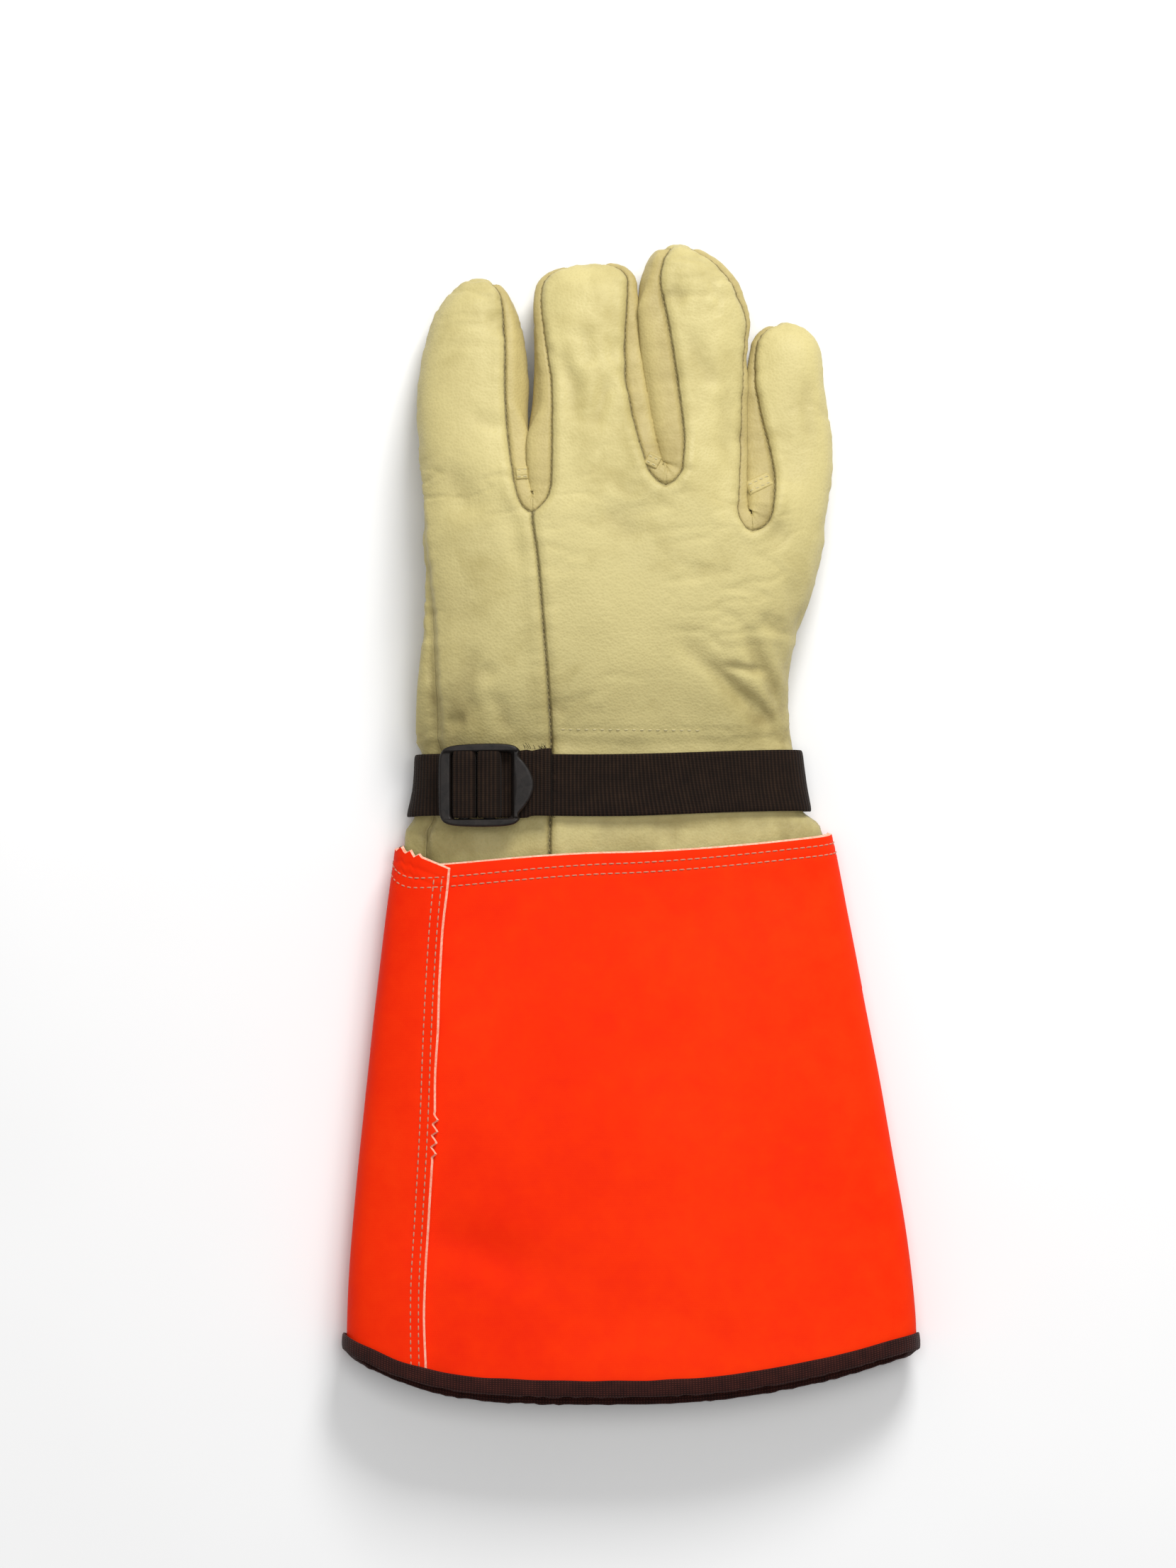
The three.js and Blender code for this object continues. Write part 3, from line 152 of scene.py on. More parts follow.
HAND_OUTLINE = Table(
    "bulge fold seam right",
    (0.00, -0.580, -0.500, -0.196, 0.490),
    (0.12, -0.578, -0.515, -0.196, 0.490),
    (0.18, -0.572, -0.511, -0.194, 0.476),
    (0.28, -0.552, -0.497, -0.191, 0.440),
    (0.40, -0.547, -0.483, -0.192, 0.406),
    (0.55, -0.545, -0.490, -0.201, 0.394),
    (0.71, -0.533, -0.497, -0.214, 0.408),
    (0.82, -0.521, -0.506, -0.222, 0.444),
    (0.92, -0.520, -0.515, -0.232, 0.470),
    (1.00, -0.519, -0.518, -0.248, 0.487),
)
HAND_HEIGHTS = Table(
    "crown foldZ bulgeZ rightZ lowLeft lowRight",
    (0.00, 0.685, 0.400, 0.300, 0.300, 0.065, 0.065),
    (0.15, 0.690, 0.400, 0.300, 0.300, 0.065, 0.065),
    (0.36, 0.705, 0.420, 0.310, 0.330, 0.085, 0.075),
    (0.44, 0.780, 0.540, 0.440, 0.360, 0.270, 0.085),
    (0.54, 0.890, 0.700, 0.600, 0.390, 0.440, 0.110),
    (0.70, 0.970, 0.740, 0.640, 0.420, 0.490, 0.150),
    (0.85, 1.000, 0.730, 0.620, 0.440, 0.490, 0.190),
    (1.00, 0.980, 0.690, 0.600, 0.450, 0.480, 0.220),
)
CROTCHES = [(-0.518, -0.034), (-0.248, 0.0), (0.089, 0.075), (0.301, -0.043), (0.487, -0.070)]
SIDES = "left seamLeft seamRight right"
INDEX_OUTLINE = Table(
    SIDES,
    (0.00, -0.442, -0.442, 0.387, 0.420),
    (0.06, -0.460, -0.460, 0.374, 0.438),
    (0.18, -0.479, -0.479, 0.331, 0.436),
    (0.34, -0.503, -0.503, 0.294, 0.414),
    (0.54, -0.515, -0.515, 0.258, 0.469),
    (0.76, -0.491, -0.491, 0.294, 0.491),
    (1.00, -0.479, -0.479, 0.466, 0.521),
)
MIDDLE_OUTLINE = Table(
    SIDES,
    (0.00, -0.550, -0.480, 0.510, 0.540),
    (0.17, -0.632, -0.447, 0.408, 0.500),
    (0.29, -0.638, -0.441, 0.342, 0.460),
    (0.46, -0.602, -0.434, 0.263, 0.404),
    (0.61, -0.612, -0.480, 0.250, 0.368),
    (0.75, -0.625, -0.553, 0.263, 0.341),
    (1.00, -0.612, -0.590, 0.340, 0.372),
)
RING_OUTLINE = Table(
    SIDES,
    (0.00, -0.265, -0.200, 0.252, 0.265),
    (0.12, -0.331, -0.206, 0.262, 0.290),
    (0.24, -0.424, -0.181, 0.287, 0.315),
    (0.40, -0.484, -0.225, 0.300, 0.322),
    (0.51, -0.526, -0.256, 0.300, 0.326),
    (0.65, -0.572, -0.312, 0.331, 0.362),
    (0.75, -0.588, -0.350, 0.362, 0.412),
    (0.85, -0.637, -0.450, 0.319, 0.381),
    (1.00, -0.744, -0.494, 0.188, 0.256),
)
LITTLE_OUTLINE = Table(
    SIDES,
    (0.00, -0.335, -0.270, 0.357, 0.357),
    (0.20, -0.480, -0.175, 0.444, 0.444),
    (0.36, -0.496, -0.206, 0.500, 0.500),
    (0.50, -0.496, -0.310, 0.476, 0.476),
    (0.70, -0.484, -0.421, 0.397, 0.397),
    (1.00, -0.464, -0.440, 0.357, 0.357),
)


class Finger:
    def __init__(self, outline, length, width, depth, tip, power, slant, across, ahead, root_low, root_depth):
        self.outline, self.length, self.width, self.depth = outline, length, width, depth
        self.tip, self.power, self.slant = tip, power, slant
        self.across, self.ahead, self.root_low, self.root_depth = across, ahead, root_low, root_depth


FINGERS = [
    Finger(INDEX_OUTLINE, 79.3, 38.1, 22, 33.7, 2, 0, -0.390, -0.016, 0.480, 0.80),
    Finger(MIDDLE_OUTLINE, 77.7, 35.6, 23, 9.4, 2.6, 0.08, -0.082, 0.037, 0.450, 0.86),
    Finger(RING_OUTLINE, 86.8, 37.4, 23, 22.2, 2, 0, 0.184, 0.016, 0.350, 0.94),
    Finger(LITTLE_OUTLINE, 70.2, 29.5, 20, 10.5, 2, 0, 0.396, -0.052, 0.230, 0.90),
]
CUFF_OUTLINE = Table(
    "left right",
    (-0.04, -0.409, 0.349),
    (0.00, -0.414, 0.358),
    (0.15, -0.434, 0.385),
    (0.46, -0.467, 0.440),
    (0.77, -0.494, 0.487),
    (1.00, -0.500, 0.502),
)
CUFF_TOP_EDGE = Table(
    "ahead",
    (0.00, 0.038),
    (0.12, 0.026),
    (0.25, 0.005),
    (0.41, -0.017),
    (0.50, 0.012),
    (0.75, 0.014),
    (1.00, 0.038),
)

full_length = CUFF_LENGTH + HAND_LENGTH - CUFF_OVERLAP + FINGERS[2].ahead * PALM_WIDTH + FINGERS[2].length
HEM_Y = -full_length / 2
CUFF_TOP_Y = HEM_Y + CUFF_LENGTH
HAND_Y = CUFF_TOP_Y - CUFF_OVERLAP
CROTCH_Y = HAND_Y + HAND_LENGTH
STRAP_Y = CUFF_TOP_Y + STRAP_AHEAD


def mix(a, b, t):
    return a + (b - a) * t


def ease(value):
    t = np.clip(value, 0, 1)
    return t * t * (3 - 2 * t)


def square_cos(angle, power):
    c = np.cos(angle)
    return np.sign(c) * np.abs(c) ** (2 / power)


def square_sin(angle, power):
    s = np.sin(angle)
    return np.sign(s) * np.abs(s) ** (2 / power)


def angle_at(share, power):
    share = np.clip(share, -1, 1)
    return np.arccos(np.sign(share) * np.abs(share) ** (power / 2))


def bell(value):
    return np.exp(-value * value)


def span_of(left, right):
    """The middle and half the width between two places."""
    return (left + right) / 2, (right - left) / 2


def path_length(line):
    """How far along a line of points, or each column of a grid of them, every point lies."""
    steps = np.linalg.norm(np.diff(line, axis=0), axis=-1).cumsum(0)
    return np.concatenate([np.zeros((1, *steps.shape[1:])), steps])


def above_floor(verts, least=OFF_FLOOR):
    verts[..., 2] = np.maximum(verts[..., 2], least)


# Noise
def hash3(i, j, k):
    n = (i * 374761393 + j * 668265263 + k * 2147483647) & 0xFFFFFFFF
    n = ((n ^ (n >> 13)) * 1274126177) & 0xFFFFFFFF
    return ((n ^ (n >> 16)) & 0xFFFF) / 32767.5 - 1


def noise(x, y, z, octaves=1):
    """Smooth noise from -1 to 1 with cells one unit wide."""
    total, size, weight = 0, 1.0, 1.0
    for octave in range(octaves):
        px, py, pz = (np.asarray(v, float) * size + 31.7 * octave for v in (x, y, z))
        ix, iy, iz = (np.floor(v).astype(np.int64) for v in (px, py, pz))
        fx, fy, fz = (ease(v - np.floor(v)) for v in (px, py, pz))
        value = 0
        for dx, wx in ((0, 1 - fx), (1, fx)):
            for dy, wy in ((0, 1 - fy), (1, fy)):
                for dz, wz in ((0, 1 - fz), (1, fz)):
                    value = value + wx * wy * wz * hash3(ix + dx, iy + dy, iz + dz)
        total = total + value * weight
        size *= 2.03
        weight *= 0.5
    return total


# The hand's surface
def hand_section(at):
    size = {"at": at}
    for table, scale in ((HAND_OUTLINE, PALM_WIDTH), (HAND_HEIGHTS, KNUCKLE_HEIGHT)):
        for name in table.columns:
            size[name] = table.read(at, name) * scale
    return size


def section_at(y):
    return hand_section((y - HAND_Y) / HAND_LENGTH)


def boundary_x(s, boundary):
    if boundary in (0, 1, 4):
        return s[("fold", "seam", "", "", "right")[boundary]]
    even = mix(s["seam"], s["right"], 0.44 if boundary == 2 else 0.73)
    return mix(even, CROTCHES[boundary][0] * PALM_WIDTH, ease(s["at"]))


def back_point(s, angle, left_x, left_z):
    middle, half = span_of(left_x, s["right"])
    x = middle + half * square_cos(angle, BACK_ROUND)
    edge = mix(s["rightZ"], left_z, (s["right"] - x) / (2 * half))
    return x, edge + (s["crown"] - edge) * square_sin(angle, BACK_ROUND)


def under_point(s, angle):
    middle, half = span_of(s["bulge"], s["right"])
    x = middle + half * square_cos(angle, UNDER_ROUND)
    across = (x - s["bulge"]) / (2 * half)
    edge = mix(s["bulgeZ"], s["rightZ"], across)
    low = mix(s["lowLeft"], s["lowRight"], ease((across - 0.5) / 0.45))
    return x, edge - (edge - low) * square_sin(angle, UNDER_ROUND)


def under_angle(s, x):
    middle, half = span_of(s["bulge"], s["right"])
    return angle_at((x - middle) / half, UNDER_ROUND)


def row_y(s, x):
    boundary = 0
    while boundary < 3 and x > CROTCHES[boundary + 1][0] * PALM_WIDTH:
        boundary += 1
    (xa, ya), (xb, yb) = CROTCHES[boundary], CROTCHES[boundary + 1]
    t = np.clip((x / PALM_WIDTH - xa) / (xb - xa), 0, 1)
    ahead = mix(ya, yb, ease(t)) * PALM_WIDTH
    return HAND_Y + HAND_LENGTH * s["at"] + ahead * ease(s["at"])


PANELS = [
    "palm_panel", "index_back_panel", "back_panel", "thumb",
    "fourchette_index_inner", "fourchette_middle_outer", "fourchette_middle_inner",
    "fourchette_ring_outer", "fourchette_ring_inner", "fourchette_little_outer",
]
BACK_OF = ["index_back_panel", "back_panel", "back_panel", "back_panel"]
GAP_SIDES = [PANELS[4:6], PANELS[6:8], PANELS[8:10]]

points = []
faces = []


def add(x, y, z):
    points.append(np.array([x, y, z], float))
    return len(points) - 1


def face(panel, *corners):
    faces.append((PANELS.index(panel), corners))


def hand_ring(at):
    s = hand_section(at)

    def place(p):
        return add(p[0], row_y(s, p[0]), p[1])

    middle, half = span_of(s["fold"], s["right"])
    back = []
    for finger in range(4):
        a = angle_at((boundary_x(s, finger) - middle) / half, BACK_ROUND)
        b = angle_at((boundary_x(s, finger + 1) - middle) / half, BACK_ROUND)
        count = TOP_COLUMNS[finger]
        row = [] if finger == 0 else [back[finger - 1][-1]]
        for i in range(0 if finger == 0 else 1, count + 1):
            row.append(place(back_point(s, mix(a, b, i / count), s["fold"], s["foldZ"])))
        back.append(row)
    under = [None] * 4
    for finger in (3, 2, 1, 0):
        a = 0 if finger == 3 else under_angle(s, boundary_x(s, finger + 1))
        b = math.pi if finger == 0 else under_angle(s, boundary_x(s, finger))
        count = UNDER_COLUMNS[finger]
        row = [back[3][-1] if finger == 3 else under[finger + 1][-1]]
        for i in range(1, count + 1):
            row.append(place(under_point(s, mix(a, b, i / count))))
        under[finger] = row
    for i in range(1, SHELF_COLUMNS):
        angle = math.pi / 2 * i / SHELF_COLUMNS
        x = s["fold"] - (s["fold"] - s["bulge"]) * math.cos(angle)
        under[0].append(place((x, s["bulgeZ"] + (s["foldZ"] - s["bulgeZ"]) * math.sin(angle))))
    under[0].append(back[0][0])
    return back, under


def strap_share(share):
    return (STRAP_Y + share * STRAP_WIDTH - HAND_Y) / HAND_LENGTH


stations = [strap_share(-0.5) * row / WRIST_ROWS for row in range(WRIST_ROWS)]
stations += [strap_share(-0.5), strap_share(0), strap_share(0.5)]
stations += [mix(strap_share(0.5), 1, row / PALM_ROWS) for row in range(1, PALM_ROWS + 1)]
rings = [hand_ring(at) for at in stations]
last_row = len(rings) - 1

turn_way = np.array([math.sin(THUMB_TURN), math.cos(THUMB_TURN), 0])
side_way = np.array([math.cos(THUMB_TURN), -math.sin(THUMB_TURN), 0])
r0, r1 = THUMB_HOLE_ROWS
c0, c1 = THUMB_HOLE_COLUMNS
hole = [rings[r1][1][0][c] for c in range(c0, c1)]
hole += [rings[r][1][0][c1] for r in range(r1, r0, -1)]
hole += [rings[r0][1][0][c] for c in range(c1, c0, -1)]
hole += [rings[r][1][0][c0] for r in range(r0, r1)]
hole_middle = np.mean([points[i] for i in hole], axis=0)
hole_angles = []
for i in hole:
    away = points[i] - hole_middle
    hole_angles.append(math.atan2(away @ turn_way / THUMB_HOLE_LENGTH, away @ side_way / THUMB_WIDTH))
for i, angle in zip(hole, hole_angles):
    reach = side_way * (THUMB_WIDTH / 2) * square_cos(angle, THUMB_ROUND)
    reach = reach + turn_way * (THUMB_HOLE_LENGTH / 2) * square_sin(angle, THUMB_ROUND)
    points[i][:2] = (hole_middle + reach)[:2]

for row in range(last_row):
    for finger in range(4):
        near, far = rings[row], rings[row + 1]
        for part, name in ((0, BACK_OF[finger]), (1, "palm_panel")):
            a, b = near[part][finger], far[part][finger]
            for i in range(len(a) - 1):
                if part and finger == 0 and r0 <= row < r1 and c0 <= i < c1:
                    continue
                face(name, a[i], a[i + 1], b[i + 1], b[i])

last_back, last_under = rings[last_row]
crotch_lines = []
for boundary in (1, 2, 3):
    top, bottom = last_back[boundary][0], last_under[boundary][-1]
    line = [top]
    for i in range(1, SIDE_COLUMNS):
        line.append(add(*mix(points[top], points[bottom], i / SIDE_COLUMNS)))
    crotch_lines.append(line + [bottom])


def finger_section(f, at):
    reach = f.length * (1 - at)

    def rounding(length, power):
        return 1 if reach >= length else (1 - (1 - reach / length) ** power) ** (1 / power)

    left = f.outline.read(at, "left") * f.width
    right = f.outline.read(at, "right") * f.width
    middle, half = span_of(left, right)
    low = f.root_low * KNUCKLE_HEIGHT * (1 - at) ** 1.6
    depth = f.depth * mix(f.root_depth, 1, ease(at / 0.3)) * mix(1, 0.85, ease((at - 0.6) / 0.4))
    return {
        "x": f.across * PALM_WIDTH + middle,
        "y": CROTCH_Y + f.ahead * PALM_WIDTH + f.length * at,
        "z": low + depth / 2,
        "half": half * rounding(f.tip, f.power),
        "rise": depth / 2 * rounding(TIP_DROP, 2),
        "left": (f.outline.read(at, "seamLeft") * f.width - middle) / half,
        "right": (f.outline.read(at, "seamRight") * f.width - middle) / half,
        "slant": f.slant * ease((at - 0.7) / 0.3),
    }


OUTER_SEAM = -12 * DEGREE


def finger_angles(number, s):
    back_a = math.pi - OUTER_SEAM if number == 0 else angle_at(s["left"], FINGER_ROUND)
    back_b = OUTER_SEAM if number == 3 else angle_at(s["right"], FINGER_ROUND)
    under_a = OUTER_SEAM if number == 3 else -38 * DEGREE
    under_b = -math.pi - OUTER_SEAM if number == 0 else -142 * DEGREE
    under_count = UNDER_COLUMNS[number] + (SHELF_COLUMNS if number == 0 else 0)
    return {
        "back": np.linspace(back_a, back_b, TOP_COLUMNS[number] + 1),
        "right": [] if number == 3 else np.linspace(back_b, under_a, SIDE_COLUMNS + 1),
        "under": np.linspace(under_a, under_b, under_count + 1),
        "left": [] if number == 0 else np.linspace(under_b, back_a - TURN, SIDE_COLUMNS + 1),
    }


def finger_point(s, angle):
    x = s["half"] * square_cos(angle, FINGER_ROUND)
    z = s["rise"] * square_sin(angle, FINGER_ROUND)
    return np.array([s["x"] + x, s["y"] + s["slant"] * x, s["z"] + z])


for number, f in enumerate(FINGERS):
    root = finger_section(f, 0)
    root_angles = finger_angles(number, root)
    first = {
        "back": last_back[number],
        "right": [] if number == 3 else crotch_lines[number],
        "under": last_under[number],
        "left": [] if number == 0 else crotch_lines[number - 1][::-1],
    }
    straight = 1 - f.tip / f.length
    steps = [0.06, 0.13, 0.21, 0.31]
    count = max(2, round((straight - 0.31) / 0.13))
    steps += [mix(0.31, straight, i / count) for i in range(1, count + 1)]
    tip_angles = (66, 46, 29, 15)
    steps += [1 - f.tip / f.length * (1 - math.cos(a * DEGREE) ** (2 / f.power)) for a in tip_angles]
    before = first
    for at in steps:
        s = finger_section(f, at)
        angles = finger_angles(number, s)
        pull, lift = 1 - ease(at / 0.07), 1 - ease(at / 0.4)

        def make(part, i):
            shift = points[first[part][i]] - finger_point(root, root_angles[part][i])
            p = finger_point(s, angles[part][i]) + shift * pull
            p[1:] += shift[1:] * (lift - pull)
            return add(p[0], p[1], max(p[2], 0))

        ring = {part: [make(part, i) for i in range(len(angles[part]))] for part in ("back", "under")}
        if number == 3:
            ring["under"][0] = ring["back"][-1]
        if number == 0:
            ring["under"][-1] = ring["back"][0]
        ring["right"] = ring["left"] = []
        if number < 3:
            inner = [make("right", i) for i in range(1, SIDE_COLUMNS)]
            ring["right"] = [ring["back"][-1]] + inner + [ring["under"][0]]
        if number > 0:
            inner = [make("left", i) for i in range(1, SIDE_COLUMNS)]
            ring["left"] = [ring["under"][-1]] + inner + [ring["back"][0]]
        names = {"back": BACK_OF[number], "under": "palm_panel"}
        if number < 3:
            names["right"] = GAP_SIDES[number][0]
        if number > 0:
            names["left"] = GAP_SIDES[number - 1][1]
        for part, name in names.items():
            a, b = before[part], ring[part]
            for i in range(len(b) - 1):
                face(name, a[i], a[i + 1], b[i + 1], b[i])
        before = ring
    tip = finger_section(f, 1)
    pole = add(tip["x"], tip["y"], tip["z"])
    for part in ("back", "right", "under", "left"):
        for i in range(len(before[part]) - 1):
            face(BACK_OF[number], before[part][i], before[part][i + 1], pole)

fold_radius = (hole_middle[2] - THUMB_THICKNESS) / 2
THUMB_TIP = THUMB_WIDTH * 0.55
far_rim = hole_middle + turn_way * THUMB_HOLE_LENGTH / 2
UP = np.array([0, 0, 1.0])


def thumb_section(turn, ahead):
    fold = turn * math.pi
    reach = THUMB_LENGTH - ahead
    rounding = 1 if reach >= THUMB_TIP else math.sqrt(max(0, 1 - (1 - reach / THUMB_TIP) ** 2))
    rim = far_rim + turn_way * (ahead - fold_radius * math.sin(fold))
    rim = rim - UP * fold_radius * (1 - math.cos(fold))
    angle = turn * math.pi / 2
    thickness = mix(THUMB_HOLE_LENGTH, THUMB_THICKNESS, math.sin(angle))
    up = turn_way * math.cos(angle) + UP * math.sin(angle)
    width = mix(THUMB_WIDTH, THUMB_WIDTH * 0.86, ease(ahead / THUMB_LENGTH))
    return rim - up * thickness / 2, up, width / 2 * rounding, thickness / 2 * rounding


def thumb_point(s, angle):
    middle, up, half, rise = s
    across = side_way * half * square_cos(angle, THUMB_ROUND)
    return middle + across + up * rise * square_sin(angle, THUMB_ROUND)


start = thumb_section(0, 0)
shifts = [points[i] - thumb_point(start, a) for i, a in zip(hole, hole_angles)]
straight = THUMB_LENGTH - THUMB_TIP
steps = [(t, 0) for t in (0.12, 0.27, 0.44, 0.62, 0.8, 1)]
steps += [(1, straight * share) for share in (0.33, 0.66, 1)]
steps += [(1, straight + THUMB_TIP * math.cos(a * DEGREE)) for a in (64, 42, 24, 10)]
before = hole
for step, (turn, ahead) in enumerate(steps):
    s = thumb_section(turn, ahead)
    pull = 1 - ease((step + 1) / 3)
    ring = []
    for angle, shift in zip(hole_angles, shifts):
        p = thumb_point(s, angle) + shift * pull
        ring.append(add(p[0], p[1], max(p[2], 0)))
    for i in range(len(ring)):
        j = (i + 1) % len(ring)
        face("thumb", before[j], before[i], ring[i], ring[j])
    before = ring
pole = add(*thumb_section(1, THUMB_LENGTH)[0])
for i in range(len(before)):
    face("thumb", before[(i + 1) % len(before)], before[i], pole)


def new_mesh(name, verts, polys):
    mesh = bpy.data.meshes.new(name)
    mesh.from_pydata([tuple(v) for v in np.asarray(verts) * 0.001], [], [tuple(p) for p in polys])
    mesh.update()
    return mesh


def new_object(name, data):
    obj = bpy.data.objects.new(name, data)
    bpy.context.scene.collection.objects.link(obj)
    return obj


def evaluated(obj):
    """The object's mesh with its modifiers applied, and the object removed."""
    bpy.context.view_layer.update()
    graph = bpy.context.evaluated_depsgraph_get()
    mesh = bpy.data.meshes.new_from_object(obj.evaluated_get(graph))
    bpy.data.objects.remove(obj)
    return mesh


cage = new_object("cage", new_mesh("cage", points, [c for _, c in faces]))
cage.data.polygons.foreach_set("material_index", [p for p, _ in faces])
for name in PANELS:
    cage.data.materials.append(bpy.data.materials.new("tag_" + name))
modifier = cage.modifiers.new("smooth", "SUBSURF")
modifier.levels = modifier.render_levels = 3
smooth = evaluated(cage)


# Folds, seams and dents of the leather
count = len(smooth.vertices)
co = np.empty(count * 3)
smooth.vertices.foreach_get("co", co)
skin = co.reshape(-1, 3) * 1000
quads = np.empty(len(smooth.loops), int)
smooth.loops.foreach_get("vertex_index", quads)
quads = quads.reshape(-1, 4)
tags = np.empty(len(quads), int)
smooth.polygons.foreach_get("material_index", tags)


def vertex_normals(verts, polys):
    cross = np.cross(verts[polys[:, 2]] - verts[polys[:, 0]], verts[polys[:, 3]] - verts[polys[:, 1]])
    normals = np.zeros_like(verts)
    for k in range(4):
        np.add.at(normals, polys[:, k], cross)
    return normals / np.maximum(np.linalg.norm(normals, axis=1), 1e-9)[:, None]


normal = vertex_normals(skin, quads)
if normal[quads[tags == 2]].mean(axis=(0, 1))[2] < 0:
    quads = quads[:, ::-1]
    normal = -normal

edges = np.concatenate([np.stack([quads[:, k], quads[:, (k + 1) % 4]], 1) for k in range(4)])
edges.sort(axis=1)
edge_tags = np.tile(tags, 4)
order = np.lexsort((edges[:, 1], edges[:, 0]))
edges, edge_tags = edges[order], edge_tags[order]
same = (edges[1:] == edges[:-1]).all(axis=1) & (edge_tags[1:] != edge_tags[:-1])
same &= (edge_tags[1:] < 4) | (edge_tags[:-1] < 4)
seam_edges = edges[:-1][same]
seam_kinds = [tuple(sorted(p)) for p in zip(edge_tags[:-1][same].tolist(), edge_tags[1:][same].tolist())]

middles = (skin[seam_edges[:, 0]] + skin[seam_edges[:, 1]]) / 2
tree = KDTree(len(middles))
for i, p in enumerate(middles):
    tree.insert(p, i)
tree.balance()
nearest = np.array([tree.find(p)[1] for p in skin])
a, b = skin[seam_edges[nearest, 0]], skin[seam_edges[nearest, 1]]
run = b - a
t = np.clip(((skin - a) * run).sum(1) / (run * run).sum(1), -0.5, 1.5)
foot = a + run * t[:, None]
away = np.linalg.norm(skin - foot, axis=1)


def strap_rise(x):
    """How far the strap sits up the hand: it climbs a little from the buckle to the right."""
    return 1.0 + 0.0125 * (x + 64)


def strap_pull(x, down):
    """How far the strap draws the wrist in: x across the hand, down from 0 to 1 across the strap."""
    return 2.3 * ease((-45 - x) / 30) - 4.2 * down * ease((x - 15) / 35)


# The fingers lie against each other: their side strips swell to the middle of each gap,
# and at its end they roll up over the crotch
swell = np.zeros_like(skin)
GAP_CLOSED_TO = (139, 182, 156)
GAP_ENDS = (101.6, 111.4, 95.9)
for (one, two), closed_to, crotch_y in zip(GAP_SIDES, GAP_CLOSED_TO, GAP_ENDS):
    left = np.unique(quads[tags == PANELS.index(one)])
    right = np.unique(quads[tags == PANELS.index(two)])
    steps, centre = [], []
    for step in np.arange(crotch_y - 2, closed_to + 16, 2.0):
        near = [ids[np.abs(skin[ids, 1] - step) < 2] for ids in (left, right)]
        if len(near[0]) and len(near[1]):
            steps.append(step)
            centre.append((skin[near[0], 0].max() + skin[near[1], 0].min()) / 2)
    both = np.concatenate([left, right])
    side = np.concatenate([-np.ones(len(left)), np.ones(len(right))])
    middle = np.interp(skin[both, 1], steps, centre)
    target = middle + 0.22 * side * ease((skin[both, 1] - crotch_y) / 3)
    inside = ease(away[both] / 3.2) * ease((closed_to - skin[both, 1]) / 14)
    swell[both, 0] = np.clip(target - skin[both, 0], -4.6, 4.6) * inside
    swell[both, 1] = 4.4 * ease((9 - skin[both, 1] + crotch_y) / 9) * ease(away[both] / 3.4)
# The ring finger's back leather rolls over its right side
over = np.array([seam_kinds[k] == (2, 8) for k in nearest]) * bell(away / 4.5)
over = over * ease((skin[:, 1] - 96) / 12) * ease((176 - skin[:, 1]) / 14)
swell[:, 0] += 1.9 * over
swell[:, 2] -= 1.3 * over
skin = skin + swell
# The strap draws the wrist in at both sides
off_strap = skin[:, 1] - STRAP_Y - strap_rise(skin[:, 0])
across_strap = np.clip(0.5 - off_strap / STRAP_WIDTH, 0, 1)
drawn = ease((STRAP_WIDTH / 2 + 5 - np.abs(off_strap)) / 5)
skin[:, 0] += drawn * strap_pull(skin[:, 0], across_strap)
normal = vertex_normals(skin, quads)

X, Y, Z = skin.T
back = ease((normal[:, 2] + 0.1) / 0.4)
strap_off = np.abs(off_strap) - STRAP_WIDTH / 2
free = ease((strap_off + 1) / 6)


def fold_line(x0, y0, x1, y1, width, depth):
    """A soft valley on the back along a line, fading out at its ends."""
    run = np.array([x1 - x0, y1 - y0])
    length = np.hypot(*run)
    along = ((X - x0) * run[0] + (Y - y0) * run[1]) / length
    across = ((X - x0) * run[1] - (Y - y0) * run[0]) / length
    across = across + 1.2 * noise(X / 9, Y / 9, 3.1)
    ends = ease(along / length / 0.35) * ease((length - along) / length / 0.35)
    return -depth * bell(across / width) * ends * back


def dent(x, y, wide, tall, depth):
    return -depth * bell(np.hypot((X - x) / wide, (Y - y) / tall)) * back


# How far the leather stands out: rolled seams, puckers, waves, creases and the gathers at the strap
height = 0.42 * bell((away - 2.6) / 1.8) - 0.28 * bell(away / 0.7) - 0.3 * bell(away / 2.0)
pucker = noise(foot[:, 0] / 2.7, foot[:, 1] / 2.7, foot[:, 2] / 2.7, 2)
height += 0.30 * pucker * bell((away - 1.5) / 3.2)
height += 1.0 * noise(X / 27, Y / 33, Z / 30) * free + 0.3 * noise(X / 11, Y / 14, Z / 12) * free
creases = 1 - np.abs(noise(X / 19 + 4, Y / 5.5, Z / 16, 2))
height -= 0.42 * ease((creases - 0.76) / 0.24) * ease(noise(X / 24, Y / 22, Z / 20 + 9) + 0.35) * free
fine = 1 - np.abs(noise(X / 4.2, Y / 3.1, Z / 4, 2))
height -= 0.04 * ease((fine - 0.7) / 0.3)
gather = noise(X / 7.5, 0.7, Z / 30, 2)
height += 0.55 * gather * bell((strap_off - 4) / 7) * free
height -= 0.9 * bell((strap_off - 1) / 3.5) * free * back
